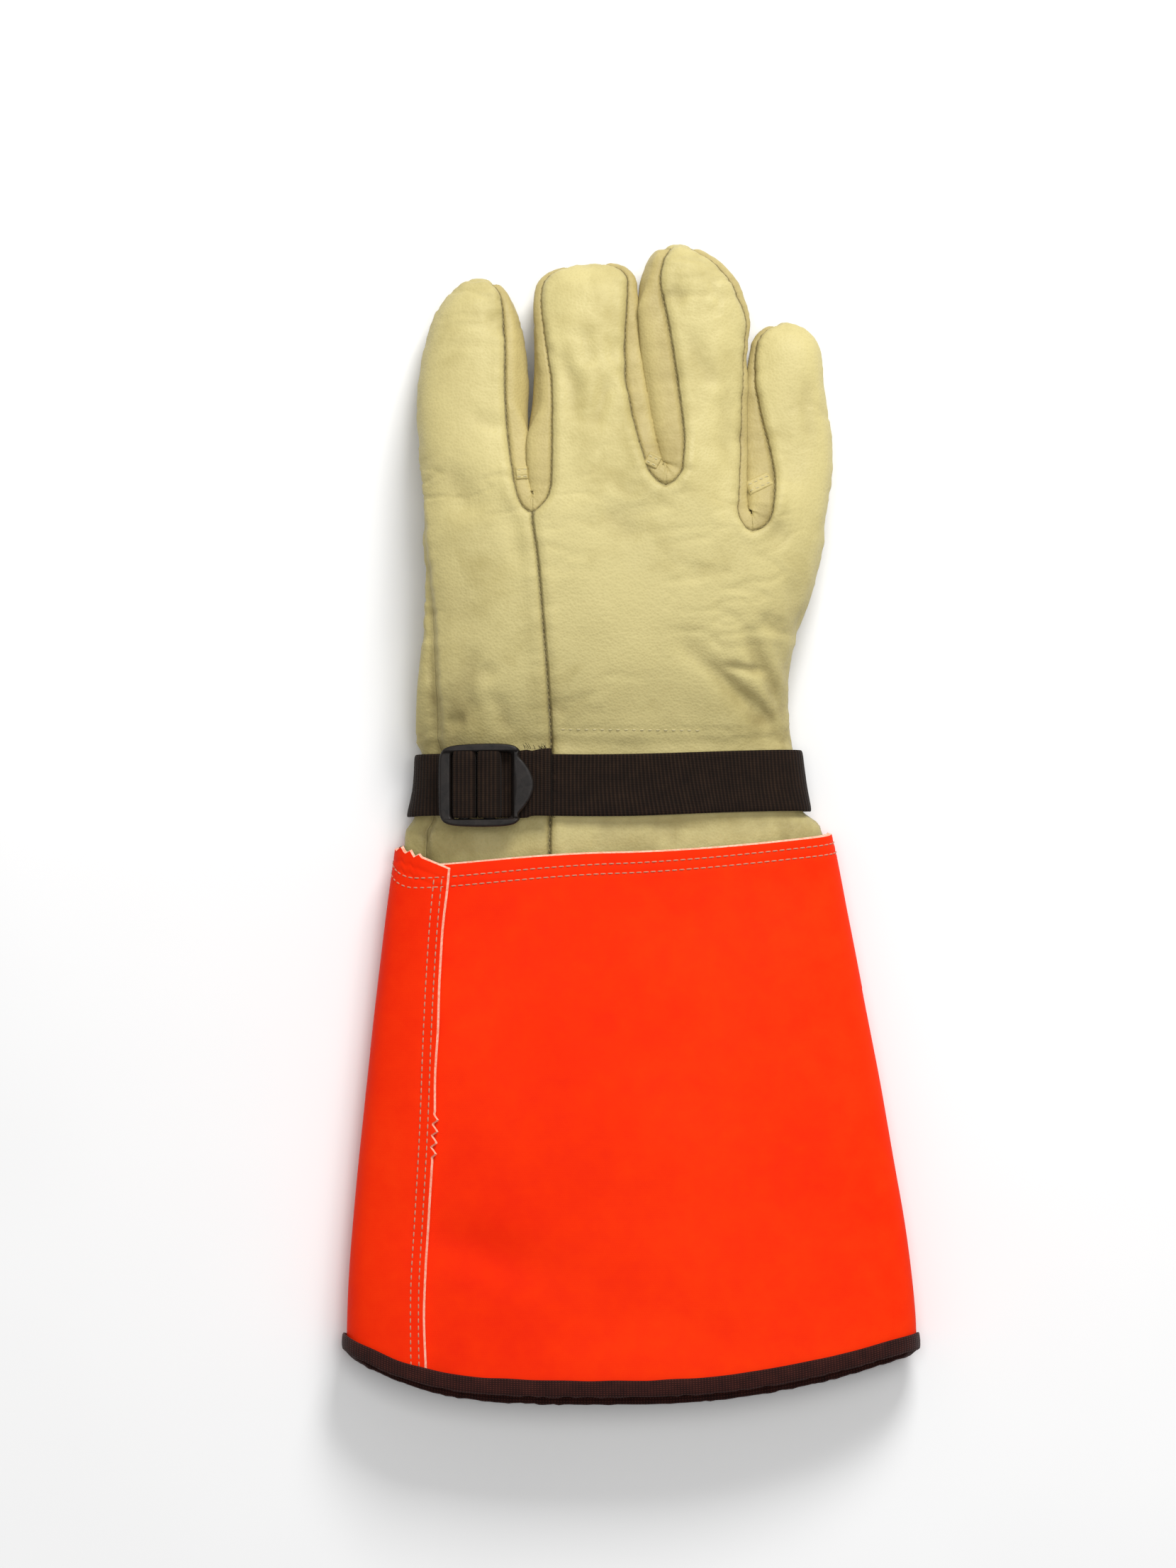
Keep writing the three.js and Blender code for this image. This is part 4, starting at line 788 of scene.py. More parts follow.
# Each line: from x, y to x, y, its width and its depth
for line in (
    (24, 54, 50, 26, 3.4, 2.3), (36, 68, 52, 30, 3.0, 2.0), (28, 53, 47, 48, 1.6, 1.5),
    (52, 84, 55, 56, 4.0, 1.2), (12, 62, 34, 46, 3.5, 0.9), (47, 62, 53, 44, 2.5, 0.9),
    (39, 67, 54, 60, 2.4, 0.9), (34, 44, 48, 30, 2.2, 0.8), (-24, 157, -15, 127, 3.2, 1.5),
    (-17, 164, -12, 148, 2.8, 1.0), (-7, 148, -13, 126, 2.8, 1.4), (-3, 160, -8, 150, 3.2, 0.9),
    (-6, 150, 2, 142, 2.2, 0.7), (10, 176, 18, 170, 3.2, 1.0), (-8, 112, 4, 108, 3.0, 0.7),
    (18, 165, 28, 140, 3.5, 0.9), (31, 150, 33, 112, 3.5, 0.9), (57, 150, 59, 120, 3.0, 0.8),
    (-44, 170, -41, 158, 3.4, 1.0), (-62, 120, -50, 98, 5.0, 1.3), (-56, 135, -40, 128, 2.6, 0.8),
    (-40, 108, -36, 80, 4.0, 0.9), (-52, 60, -56, 30, 4.0, 1.3), (-12, 104, 4, 92, 4.0, 0.8),
    (40, 105, 52, 90, 3.6, 0.9), (-46, 45, -40, 26, 3.0, 0.9), (-66, 60, -66, 28, 2.0, 0.8),
    (-62, 31, -54, 33, 2.4, 1.1), (-50, 52, -44, 47, 3.0, 0.8), (-28, 40, -20, 36, 3.0, 0.6),
):
    height += fold_line(*line)
height += dent(-59, 36, 7, 8, 1.2) + dent(12.6, 174, 3, 5, 0.6) + dent(-44, 166, 4, 4, 0.4)
tunnel = bell((Y - 30.4) / 0.55) * ease((X + 27) / 5) * ease((43 - X) / 5) * back
height -= 0.32 * tunnel
soft_edge = np.array([seam_kinds[k] in ((0, 1), (0, 3)) for k in nearest])
height += soft_edge * (0.4 * bell(away / 0.7) + 0.2 * bell(away / 2.2))
height = np.clip(height, -2.6, 1.5)
height *= np.where(Y < -8, ease((Y + 22) / 14), 1)
dressed = skin + normal * height[:, None]
above_floor(dressed)
# How dark the leather is painted: along the seams, painted shade with some seam dirt; in the folds, painted
# shade; towards the wrist and at both sides, painted shade where the light falls off
shade = 0.16 * bell(away / 1.8) + 0.1 * bell(away / 5) + 0.35 * ease(-height / 1.6)
shade += 0.3 * ease((62 - Y) / 50) + 0.25 * ease((X - 25) / 30) * ease((95 - Y) / 50)
shade += 0.15 * ease((-38 - X) / 22)


def float_layer(mesh, name, values):
    layer = mesh.attributes.new(name, "FLOAT", "POINT")
    layer.data.foreach_set("value", np.asarray(values, np.float32))


def smooth_shading(mesh):
    mesh.polygons.foreach_set("use_smooth", [True] * len(mesh.polygons))


def dress(obj, slot, *nodes):
    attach(obj, "root")
    if nodes:
        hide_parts(*nodes)
    return obj


def piece(name, mesh, materials, slot, *nodes):
    for material in materials:
        mesh.materials.append(material)
    return dress(new_object(name, mesh), slot, *nodes)


# Materials
class Look:
    """A procedural material made node by node."""

    def __init__(self, name, **values):
        self.material = bpy.data.materials.new(name)
        self.material.use_nodes = True
        self.tree = self.material.node_tree
        self.shader = next(n for n in self.tree.nodes if n.type == "BSDF_PRINCIPLED")
        for key, value in values.items():
            self.shader.inputs[key.replace("_", " ")].default_value = value
        self.place = self.node("ShaderNodeTexCoord").outputs["Object"]

    def node(self, kind, inputs=None, **settings):
        made = self.tree.nodes.new(kind)
        for key, value in settings.items():
            setattr(made, key, value)
        for key, value in (inputs or {}).items():
            self.plug(made.inputs[key], value)
        return made

    def plug(self, socket, value):
        if isinstance(value, bpy.types.NodeSocket):
            self.tree.links.new(value, socket)
        else:
            socket.default_value = value

    def scaled(self, x, y, z):
        inputs = {"Vector": self.place, "Scale": (x, y, z)}
        return self.node("ShaderNodeMapping", inputs).outputs["Vector"]

    def noise(self, scale, detail=3, roughness=0.55, distortion=0.0):
        inputs = {"Vector": self.place, "Scale": scale, "Detail": detail, "Roughness": roughness,
                  "Distortion": distortion}
        return self.node("ShaderNodeTexNoise", inputs).outputs["Fac"]

    def cells(self, scale, source=None):
        inputs = {"Vector": source or self.place, "Scale": scale}
        return self.node("ShaderNodeTexVoronoi", inputs, feature="F1").outputs["Distance"]

    def waves(self, direction, scale, distortion=0.0):
        """Bands along the weave of a piece that has a flow map."""
        source = self.node("ShaderNodeUVMap", uv_map="flow").outputs["UV"]
        inputs = {"Vector": source, "Scale": scale, "Distortion": distortion}
        made = self.node("ShaderNodeTexWave", inputs, bands_direction=direction, wave_profile="SIN")
        return made.outputs["Fac"]

    def math(self, operation, a, b=0.0):
        made = self.node("ShaderNodeMath", operation=operation)
        self.plug(made.inputs[0], a)
        self.plug(made.inputs[1], b)
        return made.outputs[0]

    def sum(self, a, weight_a, b, weight_b):
        return self.math("ADD", self.math("MULTIPLY", a, weight_a), self.math("MULTIPLY", b, weight_b))

    def ramp(self, value, *stops):
        made = self.node("ShaderNodeValToRGB", {"Fac": value})
        elements = made.color_ramp.elements
        while len(elements) < len(stops):
            elements.new(0.5)
        for element, (at, colour) in zip(elements, stops):
            element.position = at
            element.color = (*colour, 1)
        return made.outputs["Color"]

    def span(self, value, low, high, to_low=0.0, to_high=1.0):
        inputs = {"Value": value, "From Min": low, "From Max": high}
        inputs |= {"To Min": to_low, "To Max": to_high}
        return self.node("ShaderNodeMapRange", inputs).outputs["Result"]

    def blend(self, factor, a, b):
        made = self.node("ShaderNodeMix", data_type="RGBA", blend_type="MIX")
        colours = [s for s in made.inputs if s.type == "RGBA"]
        self.plug(made.inputs[0], factor)
        self.plug(colours[0], a)
        self.plug(colours[1], b)
        return next(s for s in made.outputs if s.type == "RGBA")

    def attribute(self, name):
        return self.node("ShaderNodeAttribute", attribute_name=name).outputs["Fac"]

    def bump(self, value, strength, distance, under=None):
        inputs = {"Height": value, "Strength": strength, "Distance": distance}
        if under is not None:
            inputs["Normal"] = under
        return self.node("ShaderNodeBump", inputs).outputs["Normal"]

    def finish(self, colour=None, roughness=None, normal=None):
        for key, value in (("Base Color", colour), ("Roughness", roughness), ("Normal", normal)):
            if value is not None:
                self.plug(self.shader.inputs[key], value)
        return self.material


def rgb(red, green, blue):
    """A colour from its 0 to 255 screen values."""
    return tuple(((v / 255 + 0.055) / 1.055) ** 2.4 for v in (red, green, blue))


def leather(name, light, mid, dark):
    look = Look(name, Specular_IOR_Level=0.28, Sheen_Weight=0.04, Sheen_Roughness=0.5)
    clouds = look.noise(22, 4, 0.6)
    blotches = look.noise(75, 5, 0.62, distortion=0.4)
    tone = look.sum(clouds, 0.6, blotches, 0.4)
    brightest = tuple(v * 1.04 for v in light)
    base = look.ramp(look.span(tone, 0.34, 0.66), (0.0, mid), (0.55, light), (1.0, brightest))
    grain = look.cells(1150)
    pores = look.noise(2300, 3, 0.7)
    wrinkle = look.cells(420, look.scaled(1, 1.7, 1))
    speck = look.span(grain, 0.05, 0.5, 0.3, 0.0)
    colour = look.blend(speck, base, (*mid, 1))
    # Painted shade, with some seam dirt: the shade attribute, broken up by noise, darkens the colour towards
    # the dark tone
    painted_shade_and_dirt = look.attribute("shade")
    painted_shade_and_dirt_amount = look.math("MULTIPLY", painted_shade_and_dirt, look.span(look.noise(160, 4), 0.3, 0.7, 0.4, 0.9))
    colour = look.blend(painted_shade_and_dirt_amount, colour, (*dark, 1))
    # A painted shadow line, thin and dark, along each seam
    from_seam = look.attribute("from_seam")
    line = look.span(from_seam, 0.02, 0.22, 0.3, 0.0)
    colour = look.blend(line, colour, (*rgb(116, 98, 54), 1))
    groove = look.span(from_seam, 0.0, 0.9)
    bumps = look.bump(wrinkle, 0.06, 0.0007)
    bumps = look.bump(grain, 0.30, 0.0003, bumps)
    bumps = look.bump(pores, 0.2, 0.00012, bumps)
    bumps = look.bump(groove, 0.5, 0.0005, bumps)
    return look.finish(colour, look.span(blotches, 0.3, 0.7, 0.6, 0.48), bumps)


LEATHER = leather("cream_leather", rgb(198, 185, 127), rgb(176, 162, 104), rgb(120, 103, 58))
# A darker copy of the cream leather for the side strips and lap joints: painted shade for the strips that lie
# in the gaps between the fingers
STRIP_LEATHER = leather("strip_leather", rgb(188, 172, 114), rgb(166, 149, 94), rgb(112, 95, 54))


def thread(name, colour):
    look = Look(name, Roughness=0.8, Specular_IOR_Level=0.25)
    twist = look.noise(2600, 2)
    tone = look.ramp(twist, (0.3, tuple(v * 0.7 for v in colour)), (0.7, colour))
    return look.finish(tone, None, look.bump(twist, 0.4, 0.0002))


PALE_THREAD = thread("pale_thread", rgb(208, 146, 118))
LEATHER_THREAD = thread("leather_thread", rgb(206, 194, 148))
DARK_THREAD = thread("seam_thread", rgb(158, 143, 96))


# Leather panels
LEATHER_SLOT = {name: "leather" if i < 4 else "strip_leather" for i, name in enumerate(PANELS)}
for number, name in enumerate(PANELS):
    own = quads[tags == number]
    used, local = np.unique(own, return_inverse=True)
    mesh = new_mesh(name, dressed[used], local.reshape(-1, 4).tolist())
    float_layer(mesh, "shade", shade[used])
    # Distance from the nearest seam, for the painted seam shadow line; the soft edges are set far off so that
    # they get none
    float_layer(mesh, "from_seam", (away + 9 * soft_edge)[used])
    smooth_shading(mesh)
    mesh.materials.append(LEATHER if LEATHER_SLOT[name] == "leather" else STRIP_LEATHER)
    obj = new_object(name + "_leather", mesh)
    wall = obj.modifiers.new("wall", "SOLIDIFY")
    wall.thickness = LEATHER_WALL * 0.001
    wall.offset = -1
    dress(obj, LEATHER_SLOT[name], name)


# Cuff
def cuff_point(angle, y):
    at = (CUFF_TOP_Y - y) / CUFF_LENGTH
    left = CUFF_OUTLINE.read(at, "left") * HEM_WIDTH
    right = CUFF_OUTLINE.read(at, "right") * HEM_WIDTH
    crown = mix(CUFF_TOP_HEIGHT, HEM_HEIGHT, at)
    low = (BINDING_WALL + BINDING_CLEARANCE + 0.1) * ease((at - 0.8) / 0.15)
    middle, half = span_of(left, right)
    x = middle + half * square_cos(angle, BACK_ROUND)
    sine = square_sin(angle, np.where(np.sin(angle) > 0, BACK_ROUND, UNDER_ROUND))
    upper = CUFF_EDGE_HEIGHT + (crown - CUFF_EDGE_HEIGHT) * sine
    lower = CUFF_EDGE_HEIGHT + (CUFF_EDGE_HEIGHT + 1 - low) * sine
    z = np.maximum(np.where(sine > 0, upper, lower), low)
    return np.stack(np.broadcast_arrays(x, y, z), -1).astype(float)


def cuff_normal(angle, y):
    run = cuff_point(angle + 2 * DEGREE, y) - cuff_point(angle - 2 * DEGREE, y)
    out = np.stack([run[..., 2], np.zeros_like(run[..., 0]), -run[..., 0]], -1)
    return out / np.linalg.norm(out, axis=-1, keepdims=True)


def hem_end(angle):
    share = square_cos(angle, BACK_ROUND)
    bend = np.where(share < 0, np.abs(share) ** 4, share**2)
    return HEM_Y + HEM_SAG * bend + np.where(np.sin(angle) > 0, 2 * np.sin(angle), 0)


LAP_LAYER = CUFF_WALL + SEAM_GAP


def lap_angle(y, inset=0.0):
    at = np.clip((CUFF_TOP_Y - y) / CUFF_LENGTH, 0, 1)
    half = (CUFF_OUTLINE.read(at, "right") - CUFF_OUTLINE.read(at, "left")) * HEM_WIDTH / 2
    width = LAP_WIDTH + LAP_FLARE * at + 1.3 * bell((at - 0.55) / 0.25) - inset
    return angle_at(-1 + width / half, BACK_ROUND)


def lap_rise(angle, start):
    return LAP_LAYER * (1 - ease(((angle - start) / DEGREE - 26) / 26))


def cuff_top(angle):
    return CUFF_TOP_Y + CUFF_TOP_EDGE.read((angle / TURN) % 1, "ahead") * HEM_WIDTH


def saw(value):
    return np.abs((value % 1) * 2 - 1)


def cuff_relief(point):
    """Soft dents of the cuff, the same on both its faces, fading out at the hem and the top edge."""
    x, y, z = np.moveaxis(point, -1, 0)
    soft = 0.8 * noise(x / 46, y / 55, z / 40, 2)
    soft = soft - 1.4 * bell((y + 141 + 0.3 * (x + 50)) / 9) * bell((x + 48) / 20)
    soft = np.where(z > 12, soft, 0.25 * soft * ease((z - 2) / 8))
    return soft * ease((y - HEM_Y - 8) / 22) * ease((CUFF_TOP_Y + 2 - y) / 14)


def edge_lift(turned, y):
    """The lap's free edge stands up a little, but not near the hem."""
    return 0.35 * bell(turned / 4) * ease((y - HEM_Y - 30) / 40)


def first_row(x):
    """How far below the cuff's top edge its first row of stitches runs."""
    return mix(TOP_ROW_LEFT, TOP_ROW_RIGHT, ease((x + 60) / 120))


CUFF_ACROSS, CUFF_ALONG = 150, 300
share = np.linspace(0, 1, CUFF_ACROSS + 1)[:, None]
share = share * (0.55 + 0.45 * share)
down = np.linspace(0, 1, CUFF_ALONG + 1)[None, :]
guess = mix(CUFF_TOP_Y, HEM_Y, down)
# Most of the lap's edge is cut straight; a short stretch of it and the lap's top are pinked
teeth = 1.9 * (saw(guess / 4.0) - 0.4) * ease((guess + 115) / 3) * ease((-97 - guess) / 3)
wander = 0.35 * noise(guess / 17, 1.7, 0.3)
start = lap_angle(guess, -teeth - wander)
angle = mix(start, TURN + lap_angle(guess, LAP_TUCK), share)
pinked = (angle > 146 * DEGREE) & (angle < 172 * DEGREE)
bare = cuff_point(angle, guess)
top = cuff_top(angle)
lap_top = -14.7 - 0.4 * (bare[..., 0] + 59.9)
on_lap = ease((178 * DEGREE - angle) / (14 * DEGREE)) * (share < 0.5)
top = mix(top, lap_top, on_lap) + np.where(pinked, 1.7 * (saw(bare[..., 0] / 2.9) - 0.5), 0)
end = hem_end(angle) + BINDING_WALL + SEAM_GAP
y = mix(top, end, down)
bare = cuff_point(angle, y)
out = cuff_normal(angle, y)
rise = lap_rise(angle, lap_angle(guess))
turned = (angle - lap_angle(guess)) / DEGREE
rise = rise + cuff_relief(bare) + edge_lift(turned, y)
# Two rows of stitches each pull the top edge and the lap in a little
from_row = top - y - first_row(bare[..., 0])
groove = bell(from_row / 0.7) + bell((from_row - ROW_GAP) / 0.7)
from_lap = cuff_point(lap_angle(guess), guess)[..., 0] - bare[..., 0]
on_lap = (turned > -1) & (turned < 60)
groove = groove + on_lap * sum(bell((from_lap - inset) / 0.6) for inset in LAP_ROWS)
rise = rise - 0.16 * groove
outer = bare + out * rise[..., None]
inner = bare + out * (rise - CUFF_WALL)[..., None]
# The outer face stops short of the inner one where the sheet is cut, so its pale core shows
slip = 0.55
outer[0] += (outer[1] - outer[0]) / np.linalg.norm(outer[1] - outer[0], axis=-1, keepdims=True) * slip
outer[:, 0] += np.array([0, -slip, 0])
above_floor(outer)


def sheet_mesh(name, front, behind):
    """A closed wall between two grids. Materials: 0 outside, 1 inside, 2 cut edges."""
    rows, columns = front.shape[:2]
    verts = np.concatenate([front.reshape(-1, 3), behind.reshape(-1, 3)])
    grid = np.arange(rows * columns).reshape(rows, columns)
    back_grid = grid + rows * columns

    def cell(g):
        return np.stack([g[:-1, :-1], g[1:, :-1], g[1:, 1:], g[:-1, 1:]], -1).reshape(-1, 4)

    def strip(one, two):
        return np.stack([one[:-1], two[:-1], two[1:], one[1:]], -1)

    parts = [
        cell(grid), cell(back_grid)[:, ::-1], strip(grid[:, 0], back_grid[:, 0]),
        strip(back_grid[:, -1], grid[:, -1]), strip(back_grid[0], grid[0]), strip(grid[-1], back_grid[-1]),
    ]
    polys = np.concatenate(parts)
    mesh = new_mesh(name, verts, polys.tolist())
    kinds = np.concatenate([[min(i, 2)] * len(p) for i, p in enumerate(parts)])
    mesh.polygons.foreach_set("material_index", kinds)
    smooth_shading(mesh)
    return mesh, verts, polys


def rolled_quads(index):
    """The faces of a grid that closes on itself both ways."""
    far = np.roll(index, -1, 0)
    return np.stack([index, far, np.roll(far, -1, 1), np.roll(index, -1, 1)], -1).reshape(-1, 4)


def outward(mesh, verts, polys, middle=0.0):
    """Turns the faces round if the closed mesh is inside out."""
    a, b, c = (verts[polys[:, k]] for k in range(3))
    if (np.cross(b - a, c - a) * (a - middle)).sum() < 0:
        mesh.flip_normals()


def flow_map(mesh, values):
    """A UV layer in millimetres, given for each vertex."""
    layer = mesh.uv_layers.new(name="flow")
    index = np.empty(len(mesh.loops), int)
    mesh.loops.foreach_get("vertex_index", index)
    layer.data.foreach_set("uv", np.asarray(values, np.float32)[index].ravel())


def crisp(mesh, degrees):
    mesh.set_sharp_from_angle(angle=degrees * DEGREE)


cuff_mesh, verts, polys = sheet_mesh("gauntlet_cuff", outer, inner)
outward(cuff_mesh, verts, polys)
flat = np.stack([path_length(bare), bare[..., 1]], -1).reshape(-1, 2)
flow_map(cuff_mesh, np.concatenate([flat, flat]))
crisp(cuff_mesh, 50)

look = Look("orange_coated_cloth", Specular_IOR_Level=0.05)
broad = look.noise(14, 3, 0.5)
mottled = look.noise(120, 4, 0.6)
tone = look.span(look.sum(broad, 0.6, mottled, 0.4), 0.3, 0.7)
colour = look.ramp(tone, (0, rgb(238, 38, 3)), (0.5, rgb(246, 47, 5)), (1, rgb(251, 56, 8)))
weave = look.math("MULTIPLY", look.waves("X", 0.42, 1.5), look.waves("Y", 0.42, 1.5))
pebble = look.noise(1500, 3, 0.6)
bumps = look.bump(mottled, 0.03, 0.0008)
bumps = look.bump(weave, 0.10, 0.00012, bumps)
bumps = look.bump(pebble, 0.14, 0.00010, bumps)
ORANGE = look.finish(colour, look.span(mottled, 0.3, 0.7, 0.6, 0.72), bumps)
look = Look("cuff_backing", Roughness=0.9, Specular_IOR_Level=0.2)
threads = look.math("MULTIPLY", look.waves("X", 0.6), look.waves("Y", 0.6))
colour = look.ramp(threads, (0, rgb(205, 198, 182)), (1, rgb(236, 230, 216)))
BACKING = look.finish(colour, None, look.bump(threads, 0.3, 0.0002))
look = Look("cut_edge", Roughness=0.85, Specular_IOR_Level=0.2)
fluff = look.noise(900, 3, 0.6)
colour = look.ramp(fluff, (0.3, rgb(236, 150, 116)), (0.7, rgb(247, 208, 186)))
CUT_EDGE = look.finish(colour, None, look.bump(fluff, 0.4, 0.0002))
cuff = piece("gauntlet_cuff_sheet", cuff_mesh, [ORANGE, BACKING, CUT_EDGE], "coated_fabric", "gauntlet_cuff")


# Stitches
def stitch_mesh(name, middles, runs, normals, size, radius, sink=0.35):
    """Short rounded threads, each bowed so that its ends dip into the surface."""
    across, along = 6, 5
    ring = np.arange(across) * TURN / across
    verts, polys = [], []
    shape = np.linspace(-1, 1, along)
    for number, (p, run, n) in enumerate(zip(middles, runs, normals)):
        run = run / np.linalg.norm(run)
        n = n - run * (n @ run)
        n = n / np.linalg.norm(n)
        side = np.cross(run, n)
        base = number * across * along
        for k, s in enumerate(shape):
            r = radius * math.sqrt(max(1 - abs(s) ** 3, 0.12))
            centre = p + run * size / 2 * s + n * radius * (0.55 - (1 + sink) * s * s)
            for a in ring:
                verts.append(centre + side * r * 1.15 * math.cos(a) + n * r * math.sin(a))
            if k:
                for i in range(across):
                    j = (i + 1) % across
                    low = base + (k - 1) * across
                    polys.append((low + i, low + j, low + across + j, low + across + i))
        polys.append(tuple(base + i for i in range(across))[::-1])
        polys.append(tuple(base + across * (along - 1) + i for i in range(across)))
    verts = np.array(verts)
    above_floor(verts)
    mesh = new_mesh(name, verts, polys)
    smooth_shading(mesh)
    return mesh


def along_line(places, line, values):
    """Values given at the points of a line, read at other places along it."""
    total = path_length(line)
    return np.stack([np.interp(places, total, values[:, k]) for k in range(3)], 1)


def resample(line, pitch):
    """Evenly spaced points and directions along a line of points."""
    length = path_length(line)[-1]
    count = max(int(length / pitch), 1)
    places = (np.arange(count) + 0.5) * length / count
    runs = along_line(places + 0.3, line, line) - along_line(places - 0.3, line, line)
    return along_line(places, line, line), runs, places


def cuff_spot(angle, y, start_rise):
    """A place on the dressed cuff's outer face."""
    p, n = cuff_point(angle, y), cuff_normal(angle, y)
    return p + n * (start_rise + cuff_relief(p) - 0.1)[..., None], n


CUFF_STITCH_PITCH = 2.35
middles, runs, normals = [], [], []
for inset in LAP_ROWS:
    y_line = np.linspace(CUFF_TOP_Y - 8, HEM_Y + 9, 400)
    a_line = lap_angle(y_line, inset)
    lift = edge_lift((a_line - lap_angle(y_line)) / DEGREE, y_line)
    spots, out_line = cuff_spot(a_line, y_line, lap_rise(a_line, lap_angle(y_line)) + lift)
    m, r, at = resample(spots, CUFF_STITCH_PITCH)
    middles.append(m), runs.append(r)
    normals.append(np.tile(out_line.mean(0), (len(m), 1)))
for row in (0, 1):
    a_line = np.linspace(lap_angle(CUFF_TOP_Y) + 0.01, TURN + lap_angle(CUFF_TOP_Y) - 0.01, 1600)
    x_line = cuff_point(a_line, CUFF_TOP_Y)[:, 0]
    y_line = cuff_top(a_line) - first_row(x_line) - row * ROW_GAP
    spots, out_line = cuff_spot(a_line, y_line, lap_rise(a_line, lap_angle(y_line)))
    m, r, at = resample(spots, CUFF_STITCH_PITCH)
    middles.append(m), runs.append(r)
    normals.append(along_line(at, spots, out_line))
middles, runs, normals = (np.concatenate(rows) for rows in (middles, runs, normals))
mesh = stitch_mesh("cuff_stitches", middles, runs, normals, 2.05, 0.2)
cuff_sewing = piece("cuff_stitches", mesh, [PALE_THREAD], "coated_fabric")


# Hem binding
BINDING_STEPS = 420
angle = np.arange(BINDING_STEPS) * TURN / BINDING_STEPS
# On the underside the tape is wider and set further out, so that it shows past the back's hem
below = ease(-np.sin(angle) * 3)
end = hem_end(angle) - 1.8 * below
turned = (angle - lap_angle(end)) / DEGREE
rise = LAP_LAYER * ease((turned + 9) / 6) * (1 - ease((turned - 26) / 26))
outside = rise + BINDING_CLEARANCE
inside = np.full_like(rise, -CUFF_WALL - BINDING_CLEARANCE)
arc = path_length(cuff_point(angle, end))
ragged = 0.35 * noise(arc / 2.1, 0.4, 0.9, 2)
BINDING_CORNER = 0.45
# The tape's section as places out from the cuff and up from the hem: the outer limb, then the inner one
profile = []
for side, base in ((1, outside), (-1, inside)):
    far = base + side * BINDING_WALL
    edge = BINDING_WIDTH + 0.7 + 1.8 * below + 0.25 * noise(arc / 9, side, 0.2)
    limb = [
        (base + side * 0.02, edge), (base + side * BINDING_WALL * 0.55, edge + 0.12),
        (far - side * 0.12, edge - 0.25), (far, edge * 0.72), (far + side * 0.06, edge * 0.45),
        (far, edge * 0.2), (far - side * BINDING_CORNER * 0.4, ragged * 0.4),
        (far - side * BINDING_CORNER * 1.6, ragged - 0.35),
    ]
    profile += limb if side > 0 else limb[::-1]
profile += [(inside, BINDING_WALL), (outside, BINDING_WALL)]
grid = np.stack([
    cuff_point(angle, end + ahead) + cuff_normal(angle, end + ahead) * out_by[:, None]
    for out_by, ahead in profile
])
polys = rolled_quads(np.arange(len(profile) * BINDING_STEPS).reshape(len(profile), BINDING_STEPS))
verts = grid.reshape(-1, 3)
above_floor(verts)
binding_mesh = new_mesh("hem_binding", verts, polys.tolist())
outward(binding_mesh, verts, polys)
smooth_shading(binding_mesh)
girth = path_length(grid[:, 0])
flow_map(binding_mesh, np.stack(np.broadcast_arrays(arc[None, :], girth[:, None]), -1).reshape(-1, 2))
look = Look("brown_tape", Roughness=0.9, Specular_IOR_Level=0.15, Sheen_Weight=0.08)
woven = look.math("MULTIPLY", look.waves("X", 0.32, 0.6), look.waves("Y", 0.45, 0.6))
tone = look.sum(woven, 0.6, look.noise(260, 4), 0.5)
colour = look.ramp(tone, (0.15, rgb(30, 11, 9)), (0.55, rgb(58, 24, 19)), (0.95, rgb(84, 42, 33)))
bumps = look.bump(look.noise(700, 3), 0.3, 0.0003)
BROWN = look.finish(colour, None, look.bump(woven, 0.55, 0.0004, bumps))
binding = piece("hem_binding_tape", binding_mesh, [BROWN], "binding_tape", "hem_binding")


# Strap
def wrist_point(angle, y):
    s = section_at(y)
    if math.sin(angle) >= 0:
        return back_point(s, angle, s["bulge"], s["bulgeZ"])
    return under_point(s, -angle)


buckle_x = section_at(STRAP_Y)["bulge"] + BUCKLE_INSET
buckle_reach = BUCKLE_LENGTH / 2
LEVEL = STRAP_WALL + SEAM_GAP
PLATE_LOW = 2 * LEVEL
OVER_BAR = PLATE_LOW + BUCKLE_PLATE + SEAM_GAP
END_BAR = -0.375 * BUCKLE_LENGTH
BAR_A = (-0.295 * BUCKLE_LENGTH, -0.18 * BUCKLE_LENGTH)
BAR_B = (-0.032 * BUCKLE_LENGTH, 0.092 * BUCKLE_LENGTH)
TAB_BAR = 0.263 * BUCKLE_LENGTH


def wrist_top(x, y):
    s = section_at(y)
    middle, half = span_of(s["bulge"], s["right"])
    return back_point(s, angle_at((x - middle) / half, BACK_ROUND), s["bulge"], s["bulgeZ"])[1]


climb = wrist_top(buckle_x + buckle_reach, STRAP_Y) - wrist_top(buckle_x - buckle_reach, STRAP_Y)
tilt = math.atan2(climb, 2 * buckle_reach)
buckle_base = SEAM_GAP + max(
    wrist_top(buckle_x + along * math.cos(tilt), STRAP_Y + side * BUCKLE_WIDTH) - along * math.sin(tilt)
    for along in np.linspace(-buckle_reach, buckle_reach, 21) for side in (-0.5, 0, 0.5)
)


def on_buckle(along, above):
    c, s = math.cos(tilt), math.sin(tilt)
    return buckle_x + along * c - above * s, buckle_base + along * s + above * c


def around_bar(edge, side, low, high, steps):
    middle, radius = (low + high) / 2, abs(high - low) / 2
    sign = math.copysign(1, high - low)
    turns = [math.pi * i / steps for i in range(steps + 1)]
    return [(edge + side * radius * 0.3 * math.sin(a), middle - sign * radius * math.cos(a)) for a in turns]


